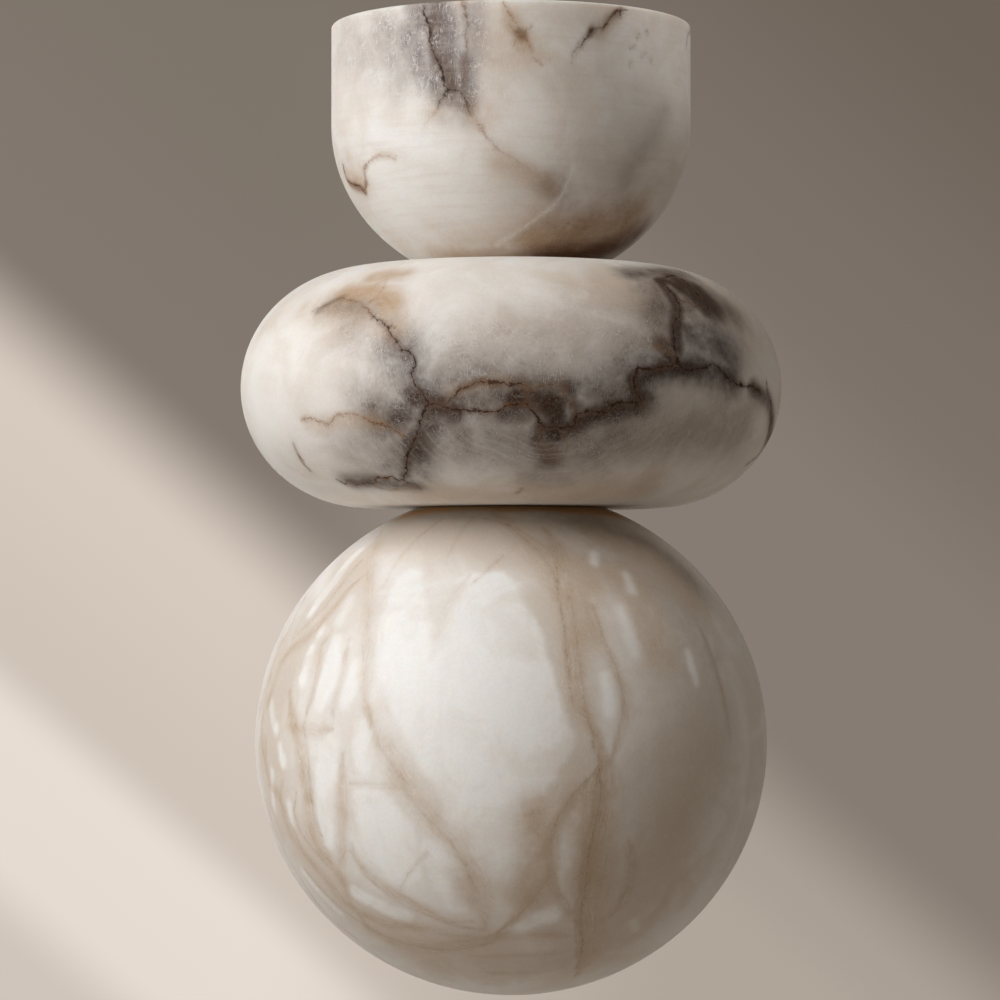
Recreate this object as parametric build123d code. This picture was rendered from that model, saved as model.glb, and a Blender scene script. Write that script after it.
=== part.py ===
from build123d import *
from math import asin, cos, degrees, radians, sin, sqrt
import os

# Pendant light of three hollow alabaster stones, threaded on one hollow stem:
# a bowl on top, a thick round disc under it and a ball at the bottom.
# Millimetres, +Z up. The origin is the mouth of the suspension socket, on the stem's axis.

# Outside of the stones
BOWL_DIAMETER = 180.0
BOWL_HEIGHT = 122.0
BOWL_STRAIGHT = 50.0  # upright part of the side, under the rim
BOWL_BASE_DIAMETER = 80.0
DISC_DIAMETER = 270.0
DISC_THICKNESS = 119.0
DISC_FLAT_DIAMETER = 145.0
BALL_DIAMETER = 255.0
BALL_HEIGHT = 242.0  # from its seat under the disc to its lowest point
BALL_SEAT_DIAMETER = 95.0

# Walls, holes and edges of the stones
BOWL_WALL = 14.0
BOWL_FLOOR = 16.0
BOWL_HOLE_DIAMETER = 30.0
RIM_ROUND = 1.5
DISC_WALL = 14.0
DISC_TOP_HOLE_DIAMETER = 50.0
DISC_BOTTOM_HOLE_DIAMETER = 50.0
BALL_WALL = 14.0
BALL_MOUTH_DIAMETER = 78.0
BALL_LIP = 24.0  # stone left standing round the mouth

# Suspension coupler and stem, for an M10 fine thread
COUPLER_DIAMETER = 24.0
COUPLER_LENGTH = 30.0
COUPLER_RISE = 16.0  # top of the coupler above the bowl's rim
COUPLER_CHAMFER = 1.2
SOCKET_DIAMETER = 9.0  # tapping size of the thread
SOCKET_DEPTH = 12.0
COUPLER_WEB = 3.0
STEM_DIAMETER = 10.0
STEM_BORE = 7.0
STEM_TAIL = 4.0  # stem left showing under the last nut
SET_SCREW_DIAMETER = 4.0
WIRE_PORT_DIAMETER = 6.0
WIRE_PORT_OFFSET = 10.0  # from the upper end of each light column

# Cover of the bowl
COVER_THICKNESS = 2.5
COVER_LEDGE = 5.0  # width of the ledge that carries it
COVER_COLLAR_WIDTH = 4.0
COVER_COLLAR_HEIGHT = 2.0
COVER_CHAMFER = 0.6

# Nuts, washers, gaskets and the clamp plate
NUT_FLATS = 17.0
NUT_HEIGHT = 8.0
WASHER_DIAMETER = 21.0
WASHER_THICKNESS = 2.0
CLAMP_PLATE_DIAMETER = 72.0
CLAMP_PLATE_THICKNESS = 3.0
FLOOR_GASKET = 1.5
SEAT_GASKET = 1.0
SUPPORT_GASKET = 1.0
GASKET_MARGIN = 2.0  # from a gasket's edge to the stone's edge

# Light columns with their strips
COLUMN_FLATS = 30.0
COLUMN_SIDES = 6
BALL_COLUMN_LENGTH = 120.0
STRIP_WIDTH = 8.0
STRIP_THICKNESS = 1.2
STRIP_MARGIN = 6.0  # bare column beyond each end of a strip
STRIP_CHANNEL = 0.8
CHIP_SIZE = 2.8
CHIP_HEIGHT = 0.7
CHIP_PITCH = 12.0
END_BOARD_DIAMETER = 28.0
END_BOARD_THICKNESS = 1.6

# Terminal block
TERMINAL_DEPTH = 14.0
TERMINAL_WIDTH = 20.0
TERMINAL_HEIGHT = 12.0
TERMINAL_GAP = 2.0  # between the block and the light column
TERMINAL_BORE = 3.2
TERMINAL_WELL = 4.0
TERMINAL_PITCH = 9.0
TERMINAL_WELL_DEPTH = 6.0

# Twist lock that carries the ball
LUGS = 3
RELEASE_ANGLE = 60.0
HUB_FLANGE = 6.0
HUB_NECK_DIAMETER = 32.0
LUG_THICKNESS = 4.0
TAB_THICKNESS = 4.0
RING_WALL = 8.0
RING_HEIGHT = 14.0
STOP_PIN_DIAMETER = 4.0

# Clearances
THREAD_CLEARANCE = 0.1
FIT_CLEARANCE = 0.2
COVER_CLEARANCE = 0.5
COVER_SEAT_GAP = 0.2
COUPLER_REVEAL = 1.0  # between the coupler and the cover's hole
BALL_SEAT_GAP = 0.4
GASKET_RUNNING_GAP = 0.2
BOND_GAP = 0.15
FLANGE_CLEARANCE = 3.0
LUG_CLEARANCE = 1.0
TAB_HEADROOM = 1.0
LUG_SEAT_GAP = 0.3
STOP_CLEARANCE_ANGLE = 1.0
LUG_PASS_ANGLE = 8.0  # free turn on each side of a tab as it drops between the lugs

# Radii
bowl_r = BOWL_DIAMETER / 2
bowl_base_r = BOWL_BASE_DIAMETER / 2
disc_r = DISC_DIAMETER / 2
disc_flat_r = DISC_FLAT_DIAMETER / 2
ball_r = BALL_DIAMETER / 2
ball_seat_r = BALL_SEAT_DIAMETER / 2
mouth_r = BALL_MOUTH_DIAMETER / 2
coupler_r = COUPLER_DIAMETER / 2
stem_r = STEM_DIAMETER / 2
stem_hole_r = stem_r + THREAD_CLEARANCE
washer_r = WASHER_DIAMETER / 2
flange_r = mouth_r - FLANGE_CLEARANCE
ring_r = mouth_r - BOND_GAP
ring_bore_r = ring_r - RING_WALL
lug_r = ring_bore_r - LUG_CLEARANCE
neck_r = HUB_NECK_DIAMETER / 2
tab_r = neck_r + LUG_CLEARANCE
pin_r = STOP_PIN_DIAMETER / 2
pin_circle_r = (tab_r + lug_r) / 2

# Heights, from the suspension socket down to the lowest nut
stem_top = -SOCKET_DEPTH - COUPLER_WEB
coupler_bottom = -COUPLER_LENGTH
rim_z = -COUPLER_RISE
bowl_centre_z = rim_z - BOWL_STRAIGHT
bowl_base_z = rim_z - BOWL_HEIGHT
bowl_floor_z = bowl_base_z + BOWL_FLOOR
clamp_bottom = bowl_floor_z + FLOOR_GASKET
clamp_top = clamp_bottom + CLAMP_PLATE_THICKNESS
clamp_nut_bottom = clamp_top + WASHER_THICKNESS
bowl_column_bottom = clamp_nut_bottom + NUT_HEIGHT
disc_top = bowl_base_z
disc_bottom = disc_top - DISC_THICKNESS
disc_column_top = disc_top - DISC_WALL
disc_column_bottom = disc_bottom + DISC_WALL
flange_top = disc_bottom - SUPPORT_GASKET
flange_bottom = flange_top - HUB_FLANGE
tab_top = flange_bottom - TAB_HEADROOM
tab_bottom = tab_top - TAB_THICKNESS
lug_top = tab_bottom - LUG_SEAT_GAP
lug_bottom = lug_top - LUG_THICKNESS
carrier_nut_bottom = lug_bottom - WASHER_THICKNESS - NUT_HEIGHT
ball_column_bottom = carrier_nut_bottom - BALL_COLUMN_LENGTH
end_board_bottom = ball_column_bottom - END_BOARD_THICKNESS
end_nut_bottom = end_board_bottom - WASHER_THICKNESS - NUT_HEIGHT
stem_bottom = end_nut_bottom - STEM_TAIL
ball_seat = disc_bottom - BALL_SEAT_GAP

# Upright half-heights of the rounded forms, from the sizes above
bowl_round = (BOWL_HEIGHT - BOWL_STRAIGHT) / sqrt(1 - (bowl_base_r / bowl_r) ** 2)
disc_round = DISC_THICKNESS / 2
ball_seat_share = sqrt(1 - (ball_seat_r / ball_r) ** 2)
ball_round = BALL_HEIGHT / (1 + ball_seat_share)
ball_centre_z = ball_seat - ball_round * ball_seat_share

# Angles of the twist lock: a tab, the stop pin and a lug share the turn between two lugs
lug_spacing = 360 / LUGS
pin_half_angle = degrees(asin(pin_r / pin_circle_r))
tab_half_angle = (lug_spacing - RELEASE_ANGLE) / 2 - pin_half_angle - STOP_CLEARANCE_ANGLE
lug_half_angle = lug_spacing / 2 - tab_half_angle - LUG_PASS_ANGLE
pin_angle = tab_half_angle + pin_half_angle + STOP_CLEARANCE_ANGLE


def turned(profile):
    """Solid of revolution from a closed half profile, drawn as (radius, height)."""
    return revolve(Plane.XZ * make_face(profile), Axis.Z)


def ring(outer_r, inner_r, bottom, top):
    """Flat ring or sleeve round the stem's axis."""
    return Pos(0, 0, bottom) * extrude(Circle(outer_r) - Circle(inner_r), top - bottom)


def plug(radius, bottom, top):
    """Round plug on the stem's axis."""
    return Pos(0, 0, bottom) * extrude(Circle(radius), top - bottom)


def oval_side(centre, across, upright, start, end):
    """Part of an oval side, as (radius, height): a round arc, in degrees from its widest point, stretched."""
    arc = scale(CenterArc((0, 0), 1, start, end - start), by=(across, upright, 1))
    return Pos(*centre) * arc


def bowl_form(radius, upright, bottom, top):
    """Closed solid of an upright side over a rounded bottom that is cut flat."""
    turn = degrees(asin((bowl_centre_z - bottom) / upright))
    side = oval_side((0, bowl_centre_z), radius, upright, -turn, 0)
    return turned(side + Polyline(side @ 1, (radius, top), (0, top), (0, bottom), side @ 0))


def bowl():
    """Turned stone bowl with a ledge for the cover and a hole for the stem's bush."""
    stone = bowl_form(bowl_r, bowl_round, bowl_base_z, rim_z)
    rim = stone.edges().group_by(Axis.Z)[-1].sort_by(SortBy.RADIUS)[-1]
    stone = fillet(rim, RIM_ROUND)
    hollow_r = bowl_r - BOWL_WALL
    stone -= bowl_form(hollow_r, bowl_round - BOWL_WALL, bowl_floor_z, rim_z)
    stone -= plug(hollow_r + COVER_LEDGE, rim_z - COVER_THICKNESS - COVER_SEAT_GAP, rim_z)
    stone -= plug(BOWL_HOLE_DIAMETER / 2, bowl_base_z, bowl_floor_z)
    return stone - bowl_seat_gasket()


def disc_form(wall):
    """Flat-faced round stone with an oval side, or its hollow at a depth of one wall."""
    across = disc_r - disc_flat_r - wall
    upright = disc_round - wall
    centre_z = (disc_top + disc_bottom) / 2
    side = oval_side((disc_flat_r, centre_z), across, upright, -90, 90)
    return turned(side + Polyline(side @ 1, (0, centre_z + upright), (0, centre_z - upright), side @ 0))


def disc():
    """Hollow stone disc, open in the middle of both faces."""
    stone = disc_form(0) - disc_form(DISC_WALL)
    stone -= plug(DISC_TOP_HOLE_DIAMETER / 2, disc_column_top, disc_top)
    return stone - plug(DISC_BOTTOM_HOLE_DIAMETER / 2, disc_bottom, disc_column_bottom)


def ball_form(wall, top):
    """Slightly flattened ball, cut flat at the given height."""
    across, upright = ball_r - wall, ball_round - wall
    turn = degrees(asin((top - ball_centre_z) / upright))
    side = oval_side((0, ball_centre_z), across, upright, -90, turn)
    return turned(side + Polyline(side @ 1, (0, top), side @ 0))


def ball():
    """Hollow stone ball with a thick lip round its mouth and a groove for the gasket."""
    ceiling = ball_seat - BALL_LIP
    stone = ball_form(0, ball_seat) - ball_form(BALL_WALL, ceiling)
    stone -= plug(mouth_r, ceiling, ball_seat)
    groove = ring(ball_seat_r - GASKET_MARGIN, mouth_r + GASKET_MARGIN, ball_seat - SEAT_GASKET, ball_seat)
    return stone - groove


def suspension_coupler():
    """Turned brass coupler: threaded socket above, stem below, wire way between."""
    body = plug(coupler_r, coupler_bottom, 0)
    body = chamfer(body.edges().filter_by(GeomType.CIRCLE), COUPLER_CHAMFER)
    body -= plug(SOCKET_DIAMETER / 2, -SOCKET_DEPTH, 0)
    body -= plug(STEM_BORE / 2, stem_top, -SOCKET_DEPTH)
    body -= plug(stem_hole_r, coupler_bottom, stem_top)
    return body - set_screw(SET_SCREW_DIAMETER / 2 + THREAD_CLEARANCE, coupler_r)


def set_screw(radius, tip_r):
    """Grub screw from the stem out to the given radius, at the back of the coupler."""
    height = (coupler_bottom + stem_top) / 2
    start = Plane((0, stem_hole_r, height), z_dir=(0, 1, 0))
    return extrude(start * Circle(radius), tip_r - stem_hole_r)


def coupler_set_screw():
    """Grub screw that locks the coupler on the stem, just under the coupler's surface."""
    return set_screw(SET_SCREW_DIAMETER / 2, coupler_r - COUPLER_CHAMFER)


def top_cover():
    """Brass cover of the bowl, with a low collar round the coupler."""
    hole_r = coupler_r + COUPLER_REVEAL
    edge_r = bowl_r - BOWL_WALL + COVER_LEDGE - COVER_CLEARANCE
    plate = plug(edge_r, rim_z - COVER_THICKNESS, rim_z)
    plate = chamfer(plate.edges().group_by(Axis.Z)[-1], COVER_CHAMFER)
    collar = plug(hole_r + COVER_COLLAR_WIDTH, rim_z, rim_z + COVER_COLLAR_HEIGHT)
    collar = chamfer(collar.edges().group_by(Axis.Z)[-1], COVER_CHAMFER)
    return plate + collar - plug(hole_r, rim_z - COVER_THICKNESS, rim_z + COVER_COLLAR_HEIGHT)


def stem_tube():
    """Hollow threaded stem that carries all the stones, with a wire port for each light column."""
    tube = ring(stem_r, STEM_BORE / 2, stem_bottom, stem_top)
    for top in (coupler_bottom, disc_column_top, carrier_nut_bottom):
        tube -= wire_port(top)
    return tube


def wire_port(column_top):
    """Cross hole from the stem's bore to the outside of a light column."""
    start = Plane((0, 0, column_top - WIRE_PORT_OFFSET), z_dir=(1, 0, 0))
    return extrude(start * Circle(WIRE_PORT_DIAMETER / 2), COLUMN_FLATS)


def light_column(bottom, top):
    """Hexagonal aluminium column on the stem, with a shallow channel for each strip."""
    flats = RegularPolygon(COLUMN_FLATS / 2, COLUMN_SIDES, major_radius=False)
    column = Pos(0, 0, bottom) * extrude(flats - Circle(stem_hole_r), top - bottom)
    channel_r = COLUMN_FLATS / 2 - STRIP_CHANNEL
    size = (COLUMN_FLATS, STRIP_WIDTH + 2 * FIT_CLEARANCE, top - bottom)
    channel = Box(*size, align=(Align.MIN, Align.CENTER, Align.MIN))
    for angle in column_angles():
        column -= Rot(0, 0, angle) * Pos(channel_r, 0, bottom) * channel
    return column - wire_port(top)


def column_angles():
    """Bearing of each flat of a light column."""
    return [360 / COLUMN_SIDES * (side + 0.5) for side in range(COLUMN_SIDES)]


def led_strips(bottom, top):
    """One strip in each channel of a light column: a narrow board with a row of chips."""
    length = top - bottom - 2 * STRIP_MARGIN
    count = int(length // CHIP_PITCH)
    strip = Box(STRIP_THICKNESS, STRIP_WIDTH, length, align=(Align.MIN, Align.CENTER, Align.CENTER))
    chip = Box(CHIP_HEIGHT, CHIP_SIZE, CHIP_SIZE, align=(Align.MIN, Align.CENTER, Align.CENTER))
    for step in range(count):
        strip += Pos(STRIP_THICKNESS, 0, (step - (count - 1) / 2) * CHIP_PITCH) * chip
    seat = Pos(COLUMN_FLATS / 2 - STRIP_CHANNEL, 0, (bottom + top) / 2)
    return Compound([Rot(0, 0, angle) * seat * strip for angle in column_angles()])


def ball_end_board():
    """Round board under the ball's light column, with chips that face down."""
    outer_r = END_BOARD_DIAMETER / 2
    board = ring(outer_r, stem_hole_r, end_board_bottom, ball_column_bottom)
    chip = Box(CHIP_SIZE, CHIP_SIZE, CHIP_HEIGHT, align=(Align.CENTER, Align.CENTER, Align.MAX))
    circle_r = (outer_r + washer_r) / 2
    for angle in column_angles():
        board += Rot(0, 0, angle) * Pos(circle_r, 0, end_board_bottom) * chip
    return board


def stem_nut(bottom):
    """Hexagon nut with chamfered corners."""
    flats = RegularPolygon(NUT_FLATS / 2, 6, major_radius=False)
    nut = Pos(0, 0, bottom) * extrude(flats, NUT_HEIGHT)
    corner_r = NUT_FLATS / sqrt(3)
    blank = plug(corner_r, bottom, bottom + NUT_HEIGHT)
    blank = chamfer(blank.edges().filter_by(GeomType.CIRCLE), corner_r - NUT_FLATS / 2)
    return (nut & blank) - plug(stem_hole_r, bottom, bottom + NUT_HEIGHT)


def stem_nuts():
    """The three nuts: over the clamp plate, under the carrier hub and at the stem's end."""
    return Compound([stem_nut(z) for z in (clamp_nut_bottom, carrier_nut_bottom, end_nut_bottom)])


def stem_washers():
    """One washer for each nut."""
    bottoms = (clamp_top, lug_bottom - WASHER_THICKNESS, end_board_bottom - WASHER_THICKNESS)
    return Compound([ring(washer_r, stem_hole_r, z, z + WASHER_THICKNESS) for z in bottoms])


def bowl_clamp_plate():
    """Steel plate that presses the bowl down on the disc."""
    return ring(CLAMP_PLATE_DIAMETER / 2, stem_hole_r, clamp_bottom, clamp_top)


def bowl_floor_gasket():
    """Silicone ring between the clamp plate and the bowl's floor."""
    inner_r = BOWL_HOLE_DIAMETER / 2 + GASKET_MARGIN
    return ring(CLAMP_PLATE_DIAMETER / 2 - GASKET_MARGIN, inner_r, bowl_floor_z, clamp_bottom)


def bowl_seat_gasket():
    """Silicone ring let into the bowl's base, level with it, on the disc's top face."""
    inner_r = DISC_TOP_HOLE_DIAMETER / 2 + GASKET_MARGIN
    return ring(bowl_base_r - GASKET_MARGIN, inner_r, bowl_base_z, bowl_base_z + SEAT_GASKET)


def centring_bush():
    """Stepped nylon bush that centres the bowl and the disc on the stem."""
    upper = plug(BOWL_HOLE_DIAMETER / 2 - FIT_CLEARANCE, bowl_base_z, bowl_floor_z)
    lower = plug(DISC_TOP_HOLE_DIAMETER / 2 - FIT_CLEARANCE, disc_column_top, bowl_base_z)
    return upper + lower - plug(stem_hole_r, disc_column_top, bowl_floor_z)


def terminal_block():
    """Two-way terminal block on the clamp plate, beside the light column's wire port."""
    near = COLUMN_FLATS / sqrt(3) + TERMINAL_GAP
    size = (TERMINAL_DEPTH, TERMINAL_WIDTH, TERMINAL_HEIGHT)
    block = Pos(near, 0, clamp_top) * Box(*size, align=(Align.MIN, Align.CENTER, Align.MIN))
    block = chamfer(block.edges().group_by(Axis.Z)[-1], COVER_CHAMFER)
    for side in (-0.5, 0.5):
        entry = Plane((near, side * TERMINAL_PITCH, clamp_top + TERMINAL_HEIGHT / 3), z_dir=(1, 0, 0))
        block -= extrude(entry * Circle(TERMINAL_BORE / 2), TERMINAL_DEPTH)
        well = (near + TERMINAL_DEPTH / 2, side * TERMINAL_PITCH, clamp_top + TERMINAL_HEIGHT)
        block -= Pos(*well) * extrude(Circle(TERMINAL_WELL / 2), -TERMINAL_WELL_DEPTH)
    return block


def disc_support_gasket():
    """Silicone ring between the carrier hub's flange and the disc's underside."""
    inner_r = DISC_BOTTOM_HOLE_DIAMETER / 2 + GASKET_MARGIN
    return ring(flange_r, inner_r, flange_top, disc_bottom)


def sector(outer_r, half_angle, bottom, top):
    """Wedge of a round plate, centred on +X, from the axis out."""
    ends = [(outer_r * cos(a), outer_r * sin(a)) for a in (radians(-half_angle), radians(half_angle))]
    outline = Line((0, 0), ends[0]) + ThreePointArc(ends[0], (outer_r, 0), ends[1]) + Line(ends[1], (0, 0))
    return Pos(0, 0, bottom) * extrude(make_face(outline), top - bottom)


def lug_bearings():
    """Bearing of each lug, and of each tab when the ball is locked."""
    return [lug_spacing * lug for lug in range(LUGS)]


def stop_pin_at(radius):
    """Dowel through the hub's flange, down to the underside of the tabs."""
    place = Rot(0, 0, pin_angle) * Pos(pin_circle_r, 0, tab_bottom + LUG_SEAT_GAP)
    return place * extrude(Circle(radius), flange_top - tab_bottom - LUG_SEAT_GAP)


def carrier_hub():
    """Steel hub: spigot in the disc's hole, flange under the disc, neck with lugs for the ball."""
    spigot = plug(DISC_BOTTOM_HOLE_DIAMETER / 2 - FIT_CLEARANCE, flange_top, disc_column_bottom)
    flange = plug(flange_r, flange_bottom, flange_top)
    hub = spigot + flange + plug(neck_r, lug_bottom, flange_bottom)
    for bearing in lug_bearings():
        hub += Rot(0, 0, bearing) * sector(lug_r, lug_half_angle, lug_bottom, lug_top)
    hub -= plug(stem_hole_r, lug_bottom, disc_column_bottom)
    return hub - stop_pin_at(pin_r)


def stop_pin():
    """Dowel that stops the ball's tabs at both ends of their turn."""
    return stop_pin_at(pin_r)


def ball_ring():
    """Steel ring bonded in the ball's mouth, with a tab above each lug of the hub."""
    body = ring(ring_r, ring_bore_r, tab_top - RING_HEIGHT, tab_top)
    overlap_r = (ring_r + ring_bore_r) / 2
    for bearing in lug_bearings():
        tab = sector(overlap_r, tab_half_angle, tab_bottom, tab_top) - plug(tab_r, tab_bottom, tab_top)
        body += Rot(0, 0, bearing) * tab
    return body


def ball_seat_gasket():
    """Silicone ring in the groove of the ball's seat, just clear of the disc."""
    top = disc_bottom - GASKET_RUNNING_GAP
    outer_r = ball_seat_r - GASKET_MARGIN - FIT_CLEARANCE
    return ring(outer_r, mouth_r + GASKET_MARGIN + FIT_CLEARANCE, ball_seat - SEAT_GASKET, top)


PIECES = {
    "suspension_coupler": suspension_coupler(),
    "coupler_set_screw": coupler_set_screw(),
    "top_cover": top_cover(),
    "bowl": bowl(),
    "bowl_light_column": light_column(bowl_column_bottom, coupler_bottom),
    "bowl_led_strips": led_strips(bowl_column_bottom, coupler_bottom),
    "terminal_block": terminal_block(),
    "bowl_clamp_plate": bowl_clamp_plate(),
    "bowl_floor_gasket": bowl_floor_gasket(),
    "bowl_seat_gasket": bowl_seat_gasket(),
    "centring_bush": centring_bush(),
    "disc": disc(),
    "disc_light_column": light_column(disc_column_bottom, disc_column_top),
    "disc_led_strips": led_strips(disc_column_bottom, disc_column_top),
    "disc_support_gasket": disc_support_gasket(),
    "carrier_hub": carrier_hub(),
    "stop_pin": stop_pin(),
    "stem_tube": stem_tube(),
    "stem_nuts": stem_nuts(),
    "stem_washers": stem_washers(),
    "ball_light_column": light_column(ball_column_bottom, carrier_nut_bottom),
    "ball_led_strips": led_strips(ball_column_bottom, carrier_nut_bottom),
    "ball_end_board": ball_end_board(),
    "ball": ball(),
    "ball_ring": ball_ring(),
    "ball_seat_gasket": ball_seat_gasket(),
}

os.makedirs("parts", exist_ok=True)
for name, piece in PIECES.items():
    export_step(piece, f"parts/{name}.step")
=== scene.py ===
import math

import bpy
import numpy as np
from mathutils import Matrix, Vector
from mathutils.bvhtree import BVHTree


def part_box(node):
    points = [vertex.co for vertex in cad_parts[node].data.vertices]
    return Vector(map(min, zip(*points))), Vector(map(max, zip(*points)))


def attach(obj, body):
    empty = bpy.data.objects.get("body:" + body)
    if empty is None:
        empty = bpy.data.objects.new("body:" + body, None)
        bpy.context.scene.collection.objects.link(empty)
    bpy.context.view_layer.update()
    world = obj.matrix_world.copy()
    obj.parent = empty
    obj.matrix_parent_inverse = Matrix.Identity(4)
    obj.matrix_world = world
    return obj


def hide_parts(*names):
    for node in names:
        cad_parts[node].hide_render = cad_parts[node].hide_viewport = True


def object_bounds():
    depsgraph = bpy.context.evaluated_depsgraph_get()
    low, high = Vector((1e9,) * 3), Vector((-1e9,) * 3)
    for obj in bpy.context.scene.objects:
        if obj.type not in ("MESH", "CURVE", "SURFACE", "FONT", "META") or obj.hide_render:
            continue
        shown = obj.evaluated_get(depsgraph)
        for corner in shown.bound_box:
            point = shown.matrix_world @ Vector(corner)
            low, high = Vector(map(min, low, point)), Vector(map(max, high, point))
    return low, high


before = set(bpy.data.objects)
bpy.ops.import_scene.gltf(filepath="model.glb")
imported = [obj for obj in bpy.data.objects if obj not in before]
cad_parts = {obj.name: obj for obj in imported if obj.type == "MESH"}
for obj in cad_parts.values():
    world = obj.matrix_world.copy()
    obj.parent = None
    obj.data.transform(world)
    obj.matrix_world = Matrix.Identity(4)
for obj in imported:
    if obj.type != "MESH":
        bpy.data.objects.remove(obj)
cad_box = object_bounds()


# The view: a long lens about 1.9 m in front of the light, level with the upper half of the ball and tilted
# up a little. Its place also turns photo pixels into lines of sight that put the traced veins on the stones.
PHOTO_PIXELS = 1000
LENS_PIXELS = 3795
SENSOR_WIDTH = 36
STEM_COLUMN = 511
LEVEL_ROW = 603
PIXEL = 0.0005
LENS_HEIGHT = -0.3047
VIEW_END = 50

lens_place = Vector(((PHOTO_PIXELS / 2 - STEM_COLUMN) * PIXEL, -LENS_PIXELS * PIXEL, LENS_HEIGHT))
lens_turn = math.pi / 2 + math.atan((LEVEL_ROW - PHOTO_PIXELS / 2) / LENS_PIXELS)

camera_data = bpy.data.cameras.new("camera")
camera_data.sensor_width = SENSOR_WIDTH
camera_data.lens = SENSOR_WIDTH * LENS_PIXELS / PHOTO_PIXELS
camera_data.clip_end = VIEW_END
camera = bpy.data.objects.new("camera", camera_data)
camera.location = lens_place
camera.rotation_euler = (lens_turn, 0, 0)
bpy.context.collection.objects.link(camera)
bpy.context.scene.camera = camera


def line_of_sight(column, row):
    """The direction in which the lens sees a photo pixel."""
    across = (column - PHOTO_PIXELS / 2) / LENS_PIXELS
    up = (PHOTO_PIXELS / 2 - row) / LENS_PIXELS
    return Matrix.Rotation(lens_turn, 3, "X") @ Vector((across, up, -1)).normalized()


# The bowl: a half egg of white alabaster with grey and rust veins, turned hollow on a lathe and waxed.
# It stands on the disc under it, held down by the clamp plate inside, and its rim has a ledge for the cover.
bowl_low, bowl_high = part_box("bowl")
BOWL_STRAIGHT = 0.050
BOWL_BASE_RADIUS = 0.040
BOWL_WALL = 0.014
BOWL_FLOOR = 0.016
BOWL_HOLE_RADIUS = 0.015
BOWL_RIM_ROUND = 0.0015
BOWL_GROOVE_INSIDE = 0.027
BOWL_GROOVE_OUTSIDE = 0.038
GASKET_GROOVE = 0.001
COVER_LEDGE_RADIUS = 0.081
COVER_LEDGE_DEPTH = 0.0027
BOWL_COLUMNS = 400
FINE_STEP = 0.0014
COARSE_STEP = 0.006
FRONT_CROWDING = 0.35
SHARP_EDGE = 40


def straight(step, *corners):
    """Points of a stone's section from corner to corner, as (radius, height), without the last corner."""
    spots = []
    for start, end in zip(corners, corners[1:]):
        count = max(1, round(math.dist(start, end) / step))
        spots.extend(tuple(np.add(start, np.subtract(end, start) * i / count)) for i in range(count))
    return spots


def oval(centre, across, upright, start, end, step):
    """Points along part of an oval section, in degrees from its widest point, without its last point."""
    count = max(2, round(math.radians(abs(end - start)) * max(across, upright) / step))
    angles = [math.radians(start + (end - start) * i / count) for i in range(count)]
    return [(centre[0] + across * math.cos(a), centre[1] + upright * math.sin(a)) for a in angles]


def turned_stone(name, section, columns):
    """A stone's section turned about the stem, with its columns closer together at the photographed front."""
    share = np.arange(columns) / columns
    angles = -math.pi / 2 + math.tau * share - FRONT_CROWDING * np.sin(math.tau * share)
    spots = []
    rows = []
    for radius, height in section:
        rows.append(len(spots))
        if radius == 0:
            spots.append((0, 0, height))
        else:
            spots.extend((radius * math.cos(a), radius * math.sin(a), height) for a in angles)
    neighbours = list(zip(range(len(section)), range(1, len(section))))
    if section[0][0] > 0:
        neighbours.append((len(section) - 1, 0))
    faces = []
    for below, above in neighbours:
        low, high = rows[below], rows[above]
        for here in range(columns):
            after = (here + 1) % columns
            if section[below][0] == 0:
                faces.append((low, high + after, high + here))
            elif section[above][0] == 0:
                faces.append((low + here, low + after, high))
            else:
                faces.append((low + here, low + after, high + after, high + here))
    mesh = bpy.data.meshes.new(name)
    mesh.from_pydata(spots, [], faces)
    mesh.shade_smooth()
    mesh.set_sharp_from_angle(angle=math.radians(SHARP_EDGE))
    stone = bpy.data.objects.new(name, mesh)
    bpy.context.collection.objects.link(stone)
    return stone


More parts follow.
